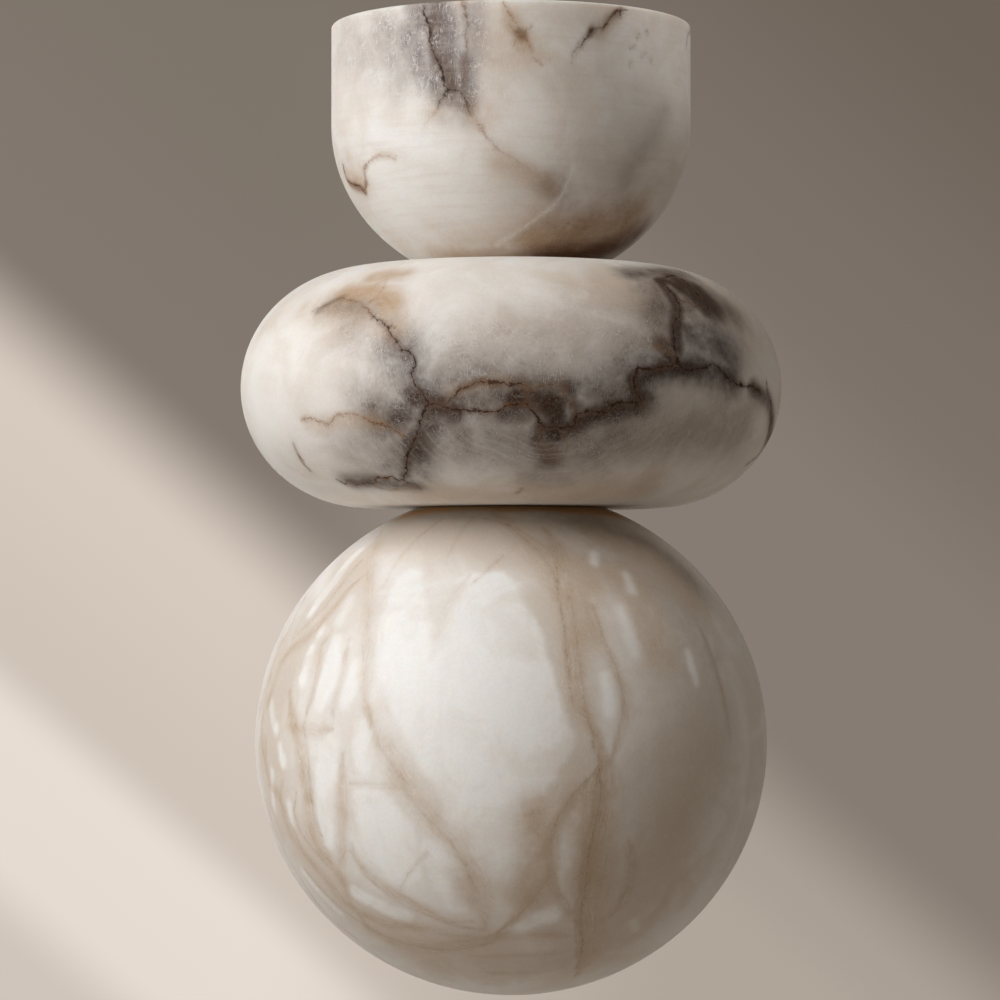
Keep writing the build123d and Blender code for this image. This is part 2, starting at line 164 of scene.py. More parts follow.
bowl_radius = bowl_high.x
bowl_rim = bowl_high.z
bowl_turn_in = bowl_rim - BOWL_STRAIGHT
bowl_base_angle = math.acos(BOWL_BASE_RADIUS / bowl_radius)
bowl_oval = (bowl_turn_in - bowl_low.z) / math.sin(bowl_base_angle)
bowl_inside = bowl_radius - BOWL_WALL
bowl_floor = bowl_low.z + BOWL_FLOOR
bowl_groove = bowl_low.z + GASKET_GROOVE
bowl_ledge = bowl_rim - COVER_LEDGE_DEPTH
bowl_floor_angle = math.asin((bowl_turn_in - bowl_floor) / (bowl_oval - BOWL_WALL))
bowl_floor_radius = bowl_inside * math.cos(bowl_floor_angle)
bowl_section = (
    straight(COARSE_STEP, (BOWL_HOLE_RADIUS, bowl_low.z), (BOWL_GROOVE_INSIDE, bowl_low.z),
             (BOWL_GROOVE_INSIDE, bowl_groove), (BOWL_GROOVE_OUTSIDE, bowl_groove),
             (BOWL_GROOVE_OUTSIDE, bowl_low.z), (BOWL_BASE_RADIUS, bowl_low.z))
    + oval((0, bowl_turn_in), bowl_radius, bowl_oval, -math.degrees(bowl_base_angle), 0, FINE_STEP)
    + straight(FINE_STEP, (bowl_radius, bowl_turn_in), (bowl_radius, bowl_rim - BOWL_RIM_ROUND))
    + oval((bowl_radius - BOWL_RIM_ROUND, bowl_rim - BOWL_RIM_ROUND), BOWL_RIM_ROUND, BOWL_RIM_ROUND,
           0, 90, BOWL_RIM_ROUND / 4)
    + straight(COARSE_STEP, (bowl_radius - BOWL_RIM_ROUND, bowl_rim), (COVER_LEDGE_RADIUS, bowl_rim),
               (COVER_LEDGE_RADIUS, bowl_ledge), (bowl_inside, bowl_ledge), (bowl_inside, bowl_turn_in))
    + oval((0, bowl_turn_in), bowl_inside, bowl_oval - BOWL_WALL, 0, -math.degrees(bowl_floor_angle),
           COARSE_STEP)
    + straight(COARSE_STEP, (bowl_floor_radius, bowl_floor), (BOWL_HOLE_RADIUS, bowl_floor),
               (BOWL_HOLE_RADIUS, bowl_low.z))
)
bowl = turned_stone("bowl_stone", bowl_section, BOWL_COLUMNS)
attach(bowl, "hanging_frame")
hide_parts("bowl")

# Cracks are traced as photo pixels: how dark the line is at its start and its end, how rusty it is from 0
# to 1, or 2 where it is a white healed line, and its points.
BOWL_CRACKS = [
    (0.85, 0.9, 0, [(423, 6), (427, 18), (430, 29), (429, 41), (434, 52), (439, 62), (442, 73), (444, 84),
                    (448, 90)]),
    (0.8, 0.4, 0, [(448, 90), (445, 94), (440, 101), (437, 108)]),
    (0.4, 0.1, 0.9, [(437, 108), (429, 120), (421, 132)]),
    (0.8, 0.4, 0, [(448, 90), (456, 90), (463, 94), (467, 104), (470, 116)]),
    (0.5, 0.15, 0.9, [(470, 116), (480, 126), (487, 138), (497, 149), (514, 159), (526, 167), (538, 177)]),
    (0.45, 0.35, 0.3, [(465, 5), (467, 19), (465, 36), (467, 51), (463, 63), (465, 75), (461, 88)]),
    (0.5, 0.3, 0.9, [(503, 2), (507, 10), (513, 18), (521, 31), (526, 39), (533, 57), (543, 65)]),
    (1.0, 0.7, 0.18, [(622, 4), (620, 10), (611, 17), (602, 28), (594, 27), (588, 36), (580, 46)]),
    (0.5, 0.2, 0.5, [(580, 46), (574, 53), (571, 64)]),
    (0.8, 0.4, 0.1, [(620, 10), (619, 18)]),
    (0.8, 1.0, 0.3, [(343, 165), (347, 180), (352, 184), (360, 186), (366, 193)]),
    (0.5, 0.8, 0.5, [(366, 164), (364, 171), (366, 181), (364, 192)]),
    (0.6, 0.4, 0.9, [(364, 171), (370, 162), (378, 156), (388, 154), (396, 158)]),
    (0.55, 0.45, 2, [(575, 165), (571, 174), (564, 192), (554, 205), (538, 217), (522, 229), (505, 239),
                     (496, 246)]),
    (0.6, 0.2, 0.6, [(521, 34), (513, 30), (509, 25)]),
    (0.6, 0.2, 0.6, [(521, 34), (528, 29), (533, 26)]),
    (0.5, 0.2, 0.6, [(521, 34), (515, 40), (512, 46)]),
    (0.5, 0.2, 0.6, [(521, 34), (527, 40), (529, 47)]),
    (0.3, 0.2, 2, [(690, 40), (680, 48), (670, 63), (655, 80)]),
    (0.3, 0.2, 2, [(679, 44), (669, 58), (660, 72)]),
    (0.7, 0.4, 0.2, [(690, 21), (688, 34), (686, 46)]),
    (0.8, 0.6, 0.5, [(462, 2), (464, 6)]),
    (0.8, 0.5, 0.5, [(464, 14), (466, 18)]),
    (0.7, 0.4, 0.5, [(468, 25), (469, 29)]),
    (0.35, 0.2, 0.4, [(636, 38), (640, 34)]),
    (0.4, 0.2, 0.4, [(646, 31), (647, 35)]),
    (0.3, 0.2, 0.4, [(630, 50), (636, 45)]),
    (0.3, 0.2, 0.4, [(641, 58), (646, 52)]),
    (0.25, 0.15, 0.4, [(629, 67), (633, 61)]),
    (0.3, 0.15, 0.4, [(650, 62), (652, 58)]),
]
# Clouds are soft: the tone, its reach and its strength, and the pixels that it follows.
BOWL_CLOUDS = [
    ("violet", 22, 0.93, [(436, 4), (443, 30), (448, 50)]),
    ("violet", 14, 1.0, [(448, 50), (450, 70), (452, 86)]),
    ("violet", 16, 0.9, [(464, 60), (465, 86)]),
    ("violet", 20, 0.6, [(470, 8), (472, 30), (472, 50)]),
    ("violet", 18, 0.8, [(413, 6), (420, 26)]),
    ("violet", 26, 0.78, [(408, 36), (418, 58), (429, 76)]),
    ("violet", 38, 0.55, [(386, 30), (396, 54), (406, 70)]),
    ("white", 9, 0.2, [(412, 84), (419, 82)]),
    ("violet", 13, 0.85, [(433, 46), (434, 84)]),
    # This white cloud is painted light: it brightens the bowl's upper right as if light shone through the
    # stone there.
    ("white", 28, 0.35, [(640, 78), (640, 118)]),
    ("tan", 18, 0.4, [(428, 115), (440, 113)]),
    ("tan", 24, 0.4, [(478, 114), (500, 98)]),
    ("halo", 10, 0.85, [(447, 74), (451, 88)]),
    ("violet", 44, 0.4, [(345, 40), (372, 60)]),
    ("halo", 11, 0.72, [(432, 20), (436, 52), (448, 84)]),
    ("halo", 15, 0.78, [(442, 97), (453, 100), (468, 104)]),
    ("halo", 18, 0.42, [(440, 110), (466, 118)]),
    ("halo", 10, 0.45, [(598, 32), (614, 16)]),
    ("tan", 14, 0.5, [(598, 34), (614, 20)]),
    ("brown", 6, 0.9, [(519, 32), (523, 36)]),
    ("tan", 16, 0.7, [(512, 22), (524, 42)]),
    ("tan", 34, 0.35, [(500, 40), (530, 64)]),
    ("brown", 5, 0.8, [(592, 30), (590, 34)]),
    ("tan", 16, 0.6, [(350, 178), (366, 184)]),
    ("tan", 18, 0.4, [(350, 158), (360, 168)]),
    ("brown", 6, 0.6, [(350, 184), (364, 190)]),
    ("halo", 20, 0.36, [(664, 112), (645, 145), (626, 176)]),
    ("tan", 18, 0.5, [(500, 160), (530, 176), (556, 190)]),
    ("brown", 24, 0.45, [(552, 184), (568, 206)]),
    # The next two brown clouds along the bowl's base are partly brown stain and partly painted shade where the
    # bowl sits on the disc.
    ("brown", 44, 0.45, [(566, 228), (596, 224), (618, 218)]),
    ("brown", 32, 0.85, [(552, 256), (590, 252), (632, 238)]),
    ("white", 32, 0.7, [(396, 186), (430, 204), (470, 212)]),
    ("white", 24, 0.55, [(404, 214), (422, 230)]),
    # The next three tan clouds along the bowl's base are partly tan stain and partly painted shade where the
    # bowl sits on the disc.
    ("tan", 30, 0.7, [(450, 256), (490, 258), (530, 254)]),
    ("tan", 44, 0.5, [(460, 238), (500, 240), (540, 230)]),
    ("tan", 40, 0.95, [(540, 240), (584, 236), (620, 226)]),
    ("beige", 46, 0.45, [(505, 60), (540, 70), (556, 84)]),
    # This white cloud is partly a pale patch in the stone and partly a painted highlight.
    ("white", 15, 0.8, [(375, 132), (400, 142), (440, 150)]),
]
# Copies fill the unseen back: how far each is turned, in degrees, and -1 where it is mirrored.
BOWL_COPIES = [(172, -1)]

MM = 1000
CRACK_REACH = 0.004
CRACK_END = 0.0015
NO_CRACK = 50.0
NO_BAND = -10.0
BAND_REACH = 2.5
BAND_MARGIN = 0.004
BAND_TAPER = 6
BAND_TIP = 0.3
SHARP_SIDES = {"left": 1, "neither": 0}
CELL_MARGIN = 0.008
HALO_PIXELS = 9
HALO_SHARE = 0.4
CLOUD_REACH = 2.6
CLOUD_PLACES = {
    "halo": ("stains", 0),
    "tan": ("stains", 1),
    "brown": ("stains", 2),
    "violet": ("clouds", 0),
    "white": ("clouds", 1),
    "beige": ("clouds", 2),
}


def traced(tree, points, shift):
    """Photo pixels as points on a stone, where the lens sees them."""
    found = []
    for column, row in points:
        sight = line_of_sight(column + shift, row)
        spot = tree.ray_cast(lens_place, sight)[0]
        if spot is None:
            spot = tree.find_nearest(lens_place - sight * (lens_place.y / sight.y))[0]
        found.append(spot)
    return np.array(found)


def turned_copy(line, turn, mirror):
    """A traced line carried round to another side of its stone, mirrored left to right where mirror is -1."""
    spin = np.array(Matrix.Rotation(math.radians(turn), 3, "Z"))
    return (line * (mirror, 1, 1)) @ spin.T


def near_line(line, spots, normals, reach):
    """The spots near a line, their signed gaps to it, and how far along it and past its ends they lie."""
    inside = (spots > line.min(0) - reach) & (spots < line.max(0) + reach)
    near = np.flatnonzero(inside.all(axis=1))
    gap = np.full(len(near), np.inf)
    along = np.zeros(len(near))
    past = np.zeros(len(near))
    lengths = np.linalg.norm(np.diff(line, axis=0), axis=1)
    walked = 0
    for start, end, length in zip(line[:-1], line[1:], lengths):
        heading = (end - start) / length
        offset = spots[near] - start
        travel = offset @ heading
        held = np.clip(travel, 0, length)
        away = offset - held[:, None] * heading
        side = np.where(np.sum(np.cross(heading, normals[near]) * away, axis=1) < 0, -1, 1)
        size = np.linalg.norm(away, axis=1)
        closer = size < np.abs(gap)
        gap[closer] = (side * size)[closer]
        along[closer] = ((walked + held) / lengths.sum())[closer]
        past[closer] = np.abs(travel - held)[closer]
        walked += length
    at_end = (along <= 0) | (along >= 1)
    return near, gap, along, np.where(at_end, past, 0)


def put_on_mesh(mesh, name, values):
    """Keeps three numbers a vertex on the mesh, for the stone's shader to read."""
    kept = mesh.attributes.new(name, "FLOAT_VECTOR", "POINT")
    kept.data.foreach_set("vector", np.ascontiguousarray(values, dtype=np.float32).ravel())


def mark_veins(stone, cracks, clouds, copies, bands=(), cells=(), shift=0):
    """Puts a stone's traced marks on its mesh, front and back, and counts its crack and band layers."""
    mesh = stone.data
    spots = np.empty(len(mesh.vertices) * 3)
    mesh.vertices.foreach_get("co", spots)
    spots = spots.reshape(-1, 3)
    normals = np.empty(len(mesh.vertices) * 3)
    mesh.vertex_normals.foreach_get("vector", normals)
    normals = normals.reshape(-1, 3)
    tree = BVHTree.FromPolygons(spots.tolist(), [list(face.vertices) for face in mesh.polygons])
    crack_layers = []
    band_layers = []
    tones = {"stains": np.zeros_like(spots), "clouds": np.zeros_like(spots)}
    cell_depths = np.tile((NO_BAND, 0.0, 0.0), (len(spots), 1))

    def lay(layers, empty, marked, values):
        """Writes values on the first layer that has nothing yet at the marked spots."""
        layer = next((one for one in layers if not one[marked, 1].any()), None)
        if layer is None:
            layer = np.tile((empty, 0.0, 0.0), (len(spots), 1))
            layers.append(layer)
        layer[marked] = values

    def add_cloud(tone, reach, strength, line):
        """A soft tone that fades away from its line."""
        place, part = CLOUD_PLACES[tone]
        near, gap = near_line(line, spots, normals, reach * CLOUD_REACH)[:2]
        shade = strength * np.exp(-(gap / reach) ** 2)
        tones[place][near, part] = np.maximum(tones[place][near, part], shade)

    def add_crack(start, end, rust, line):
        """The gap to the line in mm, how dark it is and how rusty, for the shader to draw it with."""
        near, gap, along, past = near_line(line, spots, normals, CRACK_REACH)
        fade = np.clip(2 - 2 * np.abs(gap) / CRACK_REACH, 0, 1) * np.clip(1 - past / CRACK_END, 0, 1)
        dark = (start + (end - start) * along) * fade
        values = np.column_stack((gap * MM, dark, np.full(len(near), rust)))
        lay(crack_layers, NO_CRACK, near[dark > 0], values[dark > 0])

    def add_band(half_width, strength, side, line):
        """The depth inside a band in mm, its strength there and the way along it in mm."""
        reach = half_width * BAND_REACH + BAND_MARGIN
        near, gap, along, past = near_line(line, spots, normals, reach)
        length = np.linalg.norm(np.diff(line, axis=0), axis=1).sum()
        half = half_width * np.clip(np.minimum(along, 1 - along) * BAND_TAPER, BAND_TIP, 1)
        if side == 0:
            inside = half * BAND_REACH - gap
            inner = np.exp(-(gap / half) ** 2)
        else:
            inside = half - side * gap
            inner = np.clip(1 + side * gap / (half * BAND_REACH), 0, 1)
        kept = np.clip(3 - 3 * np.abs(gap) / reach, 0, 1) * np.clip(1 - past / half_width, 0, 1)
        share = strength * inner * kept
        values = np.column_stack((inside * MM, share, along * length * MM))
        lay(band_layers, NO_BAND, near[share > 0], values[share > 0])

    def add_cell(halves, line):
        """The depth inside a cell in mm."""
        near, gap, along = near_line(line, spots, normals, max(halves) + CELL_MARGIN)[:3]
        reached = np.cumsum(np.linalg.norm(np.diff(line, axis=0), axis=1))
        half = np.interp(along, np.append(0, reached) / reached[-1], halves)
        cell_depths[near, 0] = np.maximum(cell_depths[near, 0], (half - np.abs(gap)) * MM)

    for turn, mirror in [(0, 1)] + copies:
        for half_width, strength, sharp_side, points in bands:
            side = mirror * SHARP_SIDES[sharp_side]
            line = turned_copy(traced(tree, points, shift), turn, mirror)
            add_band(half_width * PIXEL, strength, side, line)
        for points in cells:
            line = traced(tree, [(column, row) for column, row, half in points], shift)
            add_cell([half * PIXEL for column, row, half in points], turned_copy(line, turn, mirror))
        for start, end, rust, points in cracks:
            line = turned_copy(traced(tree, points, shift), turn, mirror)
            add_crack(start, end, rust, line)
            strength = HALO_SHARE * (start + end) / 2
            if rust <= 1:
                add_cloud("halo", HALO_PIXELS * PIXEL, strength * (1 - rust), line)
                add_cloud("tan", HALO_PIXELS * PIXEL, strength * rust, line)
        for tone, reach, strength, points in clouds:
            line = turned_copy(traced(tree, points, shift), turn, mirror)
            add_cloud(tone, reach * PIXEL, strength, line)
    for number, layer in enumerate(crack_layers):
        put_on_mesh(mesh, f"cracks_{number}", layer)
    for number, layer in enumerate(band_layers):
        put_on_mesh(mesh, f"bands_{number}", layer)
    for name, values in tones.items():
        put_on_mesh(mesh, name, values)
    if cells:
        put_on_mesh(mesh, "cells", cell_depths)
    return len(crack_layers), len(band_layers)


def paint(red, green, blue):
    """A colour as it looks on a screen, from 0 to 255, as the linear values that a shader takes."""
    parts = [value / 255 for value in (red, green, blue)]
    return [p / 12.92 if p <= 0.04045 else ((p + 0.055) / 1.055) ** 2.4 for p in parts] + [1]


class Shading:
    """A tree of shader nodes: each call adds a node and gives back its output."""

    def __init__(self, tree):
        self.tree = tree
        self.tree.nodes.clear()

    def add(self, kind, inputs, output=0, **settings):
        node = self.tree.nodes.new(kind)
        for name, value in settings.items():
            setattr(node, name, value)
        for socket, value in inputs.items():
            if isinstance(value, bpy.types.NodeSocket):
                self.tree.links.new(value, node.inputs[socket])
            else:
                node.inputs[socket].default_value = value
        return node.outputs[output]

    def math(self, operation, *values):
        return self.add("ShaderNodeMath", dict(enumerate(values)), operation=operation)

    def times(self, first, second):
        return self.math("MULTIPLY", first, second)

    def scaled(self, value, factor, base):
        """The value times the factor, on top of the base."""
        return self.math("MULTIPLY_ADD", value, factor, base)

    def measured(self, operation, first, second):
        """One number from two places or directions, such as their distance."""
        return self.add("ShaderNodeVectorMath", {0: first, 1: second}, "Value", operation=operation)

    def split(self, vector):
        """The three numbers of a place or a mark."""
        return self.add("ShaderNodeSeparateXYZ", {0: vector}).node.outputs

    def rise(self, value, start, end):
        """Goes smoothly from 0 at start to 1 at end, either way round."""
        inputs = {"Value": value, "From Min": start, "From Max": end}
        return self.add("ShaderNodeMapRange", inputs, interpolation_type="SMOOTHSTEP")

    def blend(self, share, first, second):
        return self.add("ShaderNodeMix", {0: share, 6: first, 7: second}, 2, data_type="RGBA")

    def end(self, kind, shader):
        """Joins a shader to the tree's output node."""
        self.tree.links.new(shader, self.tree.nodes.new(kind).inputs["Surface"])


class Finish(Shading):
    """The shader nodes of one finish on a piece, with places and sizes in mm."""

    def __init__(self, name):
        self.material = bpy.data.materials.new(name)
        self.material.use_nodes = True
        super().__init__(self.material.node_tree)
        place = self.add("ShaderNodeTexCoord", {}, "Object")
        self.where = self.add("ShaderNodeVectorMath", {0: place, 1: (MM, MM, MM)}, operation="MULTIPLY")

    def noise(self, size, detail=3, roughness=0.55, where=None, distortion=0):
        """Cloudy noise with lumps of about this size."""
        inputs = {"Vector": where or self.where, "Scale": 1 / size, "Detail": detail, "Roughness": roughness,
                  "Distortion": distortion}
        return self.add("ShaderNodeTexNoise", inputs, "Fac")

    def hairlines(self, size, roughness, width):
        """Thin lines where a noise passes its middle."""
        off_middle = self.math("ABSOLUTE", self.math("SUBTRACT", self.noise(size, 4, roughness), 0.5))
        return self.rise(off_middle, width, 0)

    def stretched(self, across, turn):
        """The place in mm, turned and squeezed so that noise comes out as fibres."""
        inputs = {"Vector": self.where, "Rotation": [math.radians(angle) for angle in turn], "Scale": across}
        return self.add("ShaderNodeMapping", inputs)

    def marks(self, name):
        """The three numbers that the mesh keeps under this name."""
        return self.split(self.add("ShaderNodeAttribute", {}, "Vector", attribute_name=name))

    def close(self, colour, roughness, height, depth, **surface):
        """Ends the finish in its surface shader; depth is the height's real depth in metres."""
        normal = self.add("ShaderNodeBump", {"Strength": 1, "Distance": depth, "Height": height}, "Normal")
        inputs = {"Base Color": colour, "Roughness": roughness, "Normal": normal}
        inputs.update((name.replace("_", " "), value) for name, value in surface.items())
        self.end("ShaderNodeOutputMaterial", self.add("ShaderNodeBsdfPrincipled", inputs, "BSDF"))
        return self.material


STONE_TONES = {
    "milk": (238, 235, 231),
    "haze": (228, 221, 213),
    "white": (246, 245, 243),
    "beige": (204, 189, 173),
    "violet": (128, 116, 114),
    "halo": (96, 74, 58),
    "tan": (188, 159, 128),
    "brown": (104, 60, 22),
    "shadow": (80, 54, 38),
    "crack": (28, 20, 18),
    "rust": (146, 94, 58),
}
LUMP_SIZE = 30
BROKEN_SIZE = 7
GRAIN_SIZE = 1.3
CLOUD_EDGE = (0.03, 1.05)
BAND_WANDER = 6
BAND_EDGE = (-0.8, 1.4)
BAND_THREADS = [("rust", 0.56, 0.68, 0.22), ("white", 0.4, 0.3, 0.5)]
CELL_EDGE = 2.5
FIBRE_ACROSS = 0.9
FIBRE_ALONG = 0.07
ARC_SWAY = 14
ARC_FINENESS = 0.7
ARC_DRIFT = (0.03, 0.02, 0.03)
ARC_STRENGTH = 0.55
BED_TURN = (6, -8, 0)
UPRIGHT_BEDS = ((0.3, 0.3, 0.03), 0.08)
LEVEL_BEDS = ((0.03, 0.03, 0.4), 0.16)
WHITE_CRACK_SIZES = (8, 4)
WHITE_CRACK_WIDTH = 0.015
NEEDLE_TURNS = [(15, 20, 0), (70, -35, 40), (-50, 60, 110)]
NEEDLE_SQUEEZE = (2.4, 2.4, 0.25)
DIRT_SIZE = 6
DIRT_WIDTH = 0.016
DIRT_STRENGTH = 0.2
BAND_SWAY = 2.4
CRACK_SWAY = 6
CRACK_JITTER = 2.4
STONE_RELIEF = 0.00003


def clouded(finish, colour, shade, marks, ragged):
    """Blends each soft tone in where the mesh is marked with it, with a ragged edge."""
    for tone, mark in marks.items():
        share = finish.rise(finish.times(mark, ragged), *CLOUD_EDGE)
        colour = finish.blend(share, colour, shade[tone])
    return colour


def banded(finish, colour, shade, lumps, band_layers):
    """Milky cells, and over them the fibrous bands with their rusty and white threads."""
    wander = finish.scaled(finish.noise(9, 5, 0.65), BAND_WANDER, -BAND_WANDER / 2)
    patchy = finish.scaled(finish.rise(finish.noise(11, 3, 0.6), 0.3, 0.65), 0.6, 0.6)
    in_cell = finish.rise(finish.math("ADD", finish.marks("cells")[0], wander), -CELL_EDGE, CELL_EDGE)
    milky = finish.scaled(finish.rise(lumps, 0.62, 0.42), 0.4, 0.5)
    colour = finish.blend(finish.times(in_cell, milky), colour, shade["white"])
    for number in range(band_layers):
        depth, share, run = finish.marks(f"bands_{number}")
        depth = finish.math("ADD", depth, wander)
        fibre_place = finish.add("ShaderNodeCombineXYZ", {0: finish.times(depth, FIBRE_ACROSS),
                                                          1: finish.times(run, FIBRE_ALONG), 2: number})
        fibres = finish.noise(1, 3, 0.6, where=fibre_place)
        in_band = finish.times(finish.rise(depth, *BAND_EDGE), finish.times(share, patchy))
        streaked = finish.times(in_band, finish.scaled(fibres, 0.9, 0.3))
        colour = finish.blend(streaked, colour, shade["tan"])
        for tone, start, end, strength in BAND_THREADS:
            threads = finish.times(finish.rise(fibres, start, end), in_band)
            colour = finish.blend(finish.times(threads, strength), colour, shade[tone])
    return colour


def swirled(finish, colour, shade, violet, centre):
    """Pale arcs round a centre, where the stone is grey."""
    out = finish.measured("DISTANCE", finish.where, centre)
    out = finish.scaled(finish.noise(40, 2), ARC_SWAY, out)
    on_arc = finish.measured("DOT_PRODUCT", finish.where, ARC_DRIFT)
    arc_place = finish.add("ShaderNodeCombineXYZ", {0: finish.times(out, ARC_FINENESS), 1: on_arc})
    arcs = finish.noise(1, 4, 0.65, where=arc_place)
    pale = finish.times(finish.rise(arcs, 0.46, 0.74), finish.rise(violet, 0.25, 1.0))
    return finish.blend(finish.times(pale, ARC_STRENGTH), colour, shade["white"])


def bedded(finish, colour, shade, squeeze, strength):
    """Faint beige streaks along the stone's bedding."""
    streaks = finish.noise(1, 3, 0.6, where=finish.stretched(squeeze, BED_TURN))
    streaked = finish.times(finish.rise(streaks, 0.45, 0.7), strength)
    return finish.blend(streaked, colour, shade["beige"])


def crystals(finish, colour, shade, violet, halo, broken, frost):
    """White healed cracks and needles of crystal, and fine dirt in the dark stains."""
    healed = finish.times(finish.rise(violet, 0.1, 0.4), finish.rise(violet, 0.95, 0.75))
    patches = finish.times(finish.scaled(healed, frost, 0.05), finish.rise(broken, 0.4, 0.56))
    for size in WHITE_CRACK_SIZES:
        lines = finish.times(finish.hairlines(size, 0.6, WHITE_CRACK_WIDTH), patches)
        colour = finish.blend(lines, colour, shade["white"])
    hairy = finish.scaled(violet, 0.12, 0.28)
    hairy = finish.math("SUBTRACT", hairy, finish.times(finish.rise(halo, 0.4, 1.0), 0.2))
    hairy = finish.times(hairy, finish.rise(broken, 0.4, 0.62))
    for turn in NEEDLE_TURNS:
        needles = finish.noise(1, 1, 0.5, where=finish.stretched(NEEDLE_SQUEEZE, turn))
        colour = finish.blend(finish.times(finish.rise(needles, 0.6, 0.74), hairy), colour, shade["white"])
    dirt = finish.times(finish.hairlines(DIRT_SIZE, 0.65, DIRT_WIDTH), finish.rise(halo, 0.35, 0.9))
    return finish.blend(finish.times(dirt, DIRT_STRENGTH), colour, shade["shadow"])


def cracked(finish, colour, shade, layers, ragged, sway):
    """Each layer of cracks: a stained edge, a rusty fringe and a thin core, and where the cores are."""
    shake = finish.scaled(finish.noise(6, 5, 0.7), sway, -sway / 2)
    jitter = finish.scaled(finish.noise(2, 3, 0.7), CRACK_JITTER, -CRACK_JITTER / 2)
    shake = finish.math("ADD", shake, jitter)
    thick = finish.rise(finish.noise(3.5, 3, 0.6), 0.4, 0.68)
    gaps_left = finish.rise(finish.noise(1.8, 3, 0.6), 0.42, 0.54)
    rusty = finish.times(finish.rise(finish.noise(9, 3, 0.6), 0.5, 0.62), 0.45)
    open_cracks = 0
    for number in range(layers):
        gap, dark, rust = finish.marks(f"cracks_{number}")
        off_line = finish.math("ABSOLUTE", finish.math("ADD", gap, shake))
        white_line = finish.rise(rust, 1.2, 1.8)
        tone = finish.blend(rust, shade["shadow"], shade["tan"])
        tone = finish.blend(white_line, tone, shade["white"])
        near = finish.times(finish.rise(off_line, 3.0, 0.0), finish.times(dark, ragged))
        colour = finish.blend(finish.times(near, 0.6), colour, tone)
        fringe = finish.times(finish.rise(off_line, 1.7, 0.5), finish.times(dark, rusty))
        fringe = finish.times(fringe, finish.math("SUBTRACT", finish.rise(rust, 0.0, 0.15), white_line))
        colour = finish.blend(fringe, colour, shade["rust"])
        width = finish.scaled(finish.times(dark, thick), 0.95, 0.24)
        dotted = finish.times(finish.rise(rust, 0.2, 1.0), finish.math("SUBTRACT", 1.0, gaps_left))
        core = finish.rise(off_line, width, finish.times(width, 0.3))
        line = finish.times(core, finish.times(dark, finish.math("SUBTRACT", 1.0, dotted)))
        tone = finish.blend(rust, shade["crack"], shade["rust"])
        colour = finish.blend(line, colour, finish.blend(white_line, tone, shade["white"]))
        open_cracks = finish.math("MAXIMUM", open_cracks, line)
    return colour, open_cracks


def alabaster(name, tones, crack_layers, band_layers, frost, swirl=None):
    """Waxed alabaster: milky lumps, tinted by the mesh's clouds and cut by its veins.

    frost is the strength of the white healed cracks in grey stone, and swirl the centre of the pale arcs.
    """
    finish = Finish(name)
    shade = {tone: paint(*colour) for tone, colour in tones.items()}
    lumps = finish.noise(LUMP_SIZE, 4, 0.6, distortion=0.6)
    broken = finish.noise(BROKEN_SIZE, 5, 0.65)
    grain = finish.noise(GRAIN_SIZE, 4, 0.7)
    halo, tan, brown = finish.marks("stains")
    violet, white, beige = finish.marks("clouds")
    ragged = finish.scaled(finish.math("ADD", broken, lumps), 0.9, 0.1)
    colour = finish.blend(finish.rise(lumps, 0.36, 0.66), shade["milk"], shade["haze"])
    colour = clouded(finish, colour, shade, {"beige": beige, "violet": violet}, ragged)
    if band_layers:
        colour = banded(finish, colour, shade, lumps, band_layers)
    colour = clouded(finish, colour, shade, {"halo": halo, "tan": tan, "brown": brown}, ragged)
    colour = finish.blend(white, colour, shade["white"])

    sandy = finish.scaled(finish.rise(violet, 0.7, 1.0), 0.3, 0.04)
    colour = finish.blend(finish.times(finish.rise(grain, 0.62, 0.4), sandy), colour, shade["shadow"])
    if swirl:
        colour = swirled(finish, colour, shade, violet, swirl)
    else:
        colour = bedded(finish, colour, shade, *(UPRIGHT_BEDS if band_layers else LEVEL_BEDS))
    colour = crystals(finish, colour, shade, violet, halo, broken, frost)
    sway = BAND_SWAY if band_layers else CRACK_SWAY
    colour, open_cracks = cracked(finish, colour, shade, crack_layers, ragged, sway)
    polish = finish.scaled(broken, 0.16, 0.4)
    roughness = finish.scaled(open_cracks, 0.3, polish)
    height = finish.math("SUBTRACT", grain, open_cracks)
    return finish.close(colour, roughness, height, STONE_RELIEF, IOR=1.45, Specular_IOR_Level=0.35,
                        Subsurface_Weight=0.45, Subsurface_Radius=(1.0, 0.62, 0.4), Subsurface_Scale=0.012)


bowl_layers = mark_veins(bowl, BOWL_CRACKS, BOWL_CLOUDS, BOWL_COPIES)
bowl.data.materials.append(alabaster("bowl_alabaster", STONE_TONES, *bowl_layers, frost=0.46))


# The cover and the suspension coupler: turned from brass bar, with fine lathe rings under clear lacquer.
# The cover lies loose on the bowl's ledge, and the coupler is screwed on the stem and locked by a grub screw.
BRASS = (196, 160, 98)
BRASS_WORN = (222, 192, 136)
RING_GRAIN = 0.35
FINE_RELIEF = 0.00002


def turned_metal(name, colour, light_colour, roughness, grain):
    """Metal turned on a lathe: fine rings round the stem's axis, with light wear."""
    finish = Finish(name)
    across, forth, height = finish.split(finish.where)
    squares = finish.math("ADD", finish.math("POWER", across, 2), finish.math("POWER", forth, 2))
    place = finish.add("ShaderNodeCombineXYZ", {0: finish.math("SQRT", squares), 1: height})
    rings = finish.noise(grain, 2, 0.6, where=place)
    wear = finish.noise(9, 4, 0.65)
    tone = finish.blend(finish.rise(wear, 0.4, 0.7), paint(*colour), paint(*light_colour))
    dull = finish.scaled(wear, 0.15, roughness - 0.08)
    dull = finish.scaled(rings, 0.1, dull)
    return finish.close(tone, dull, rings, FINE_RELIEF, Metallic=1)


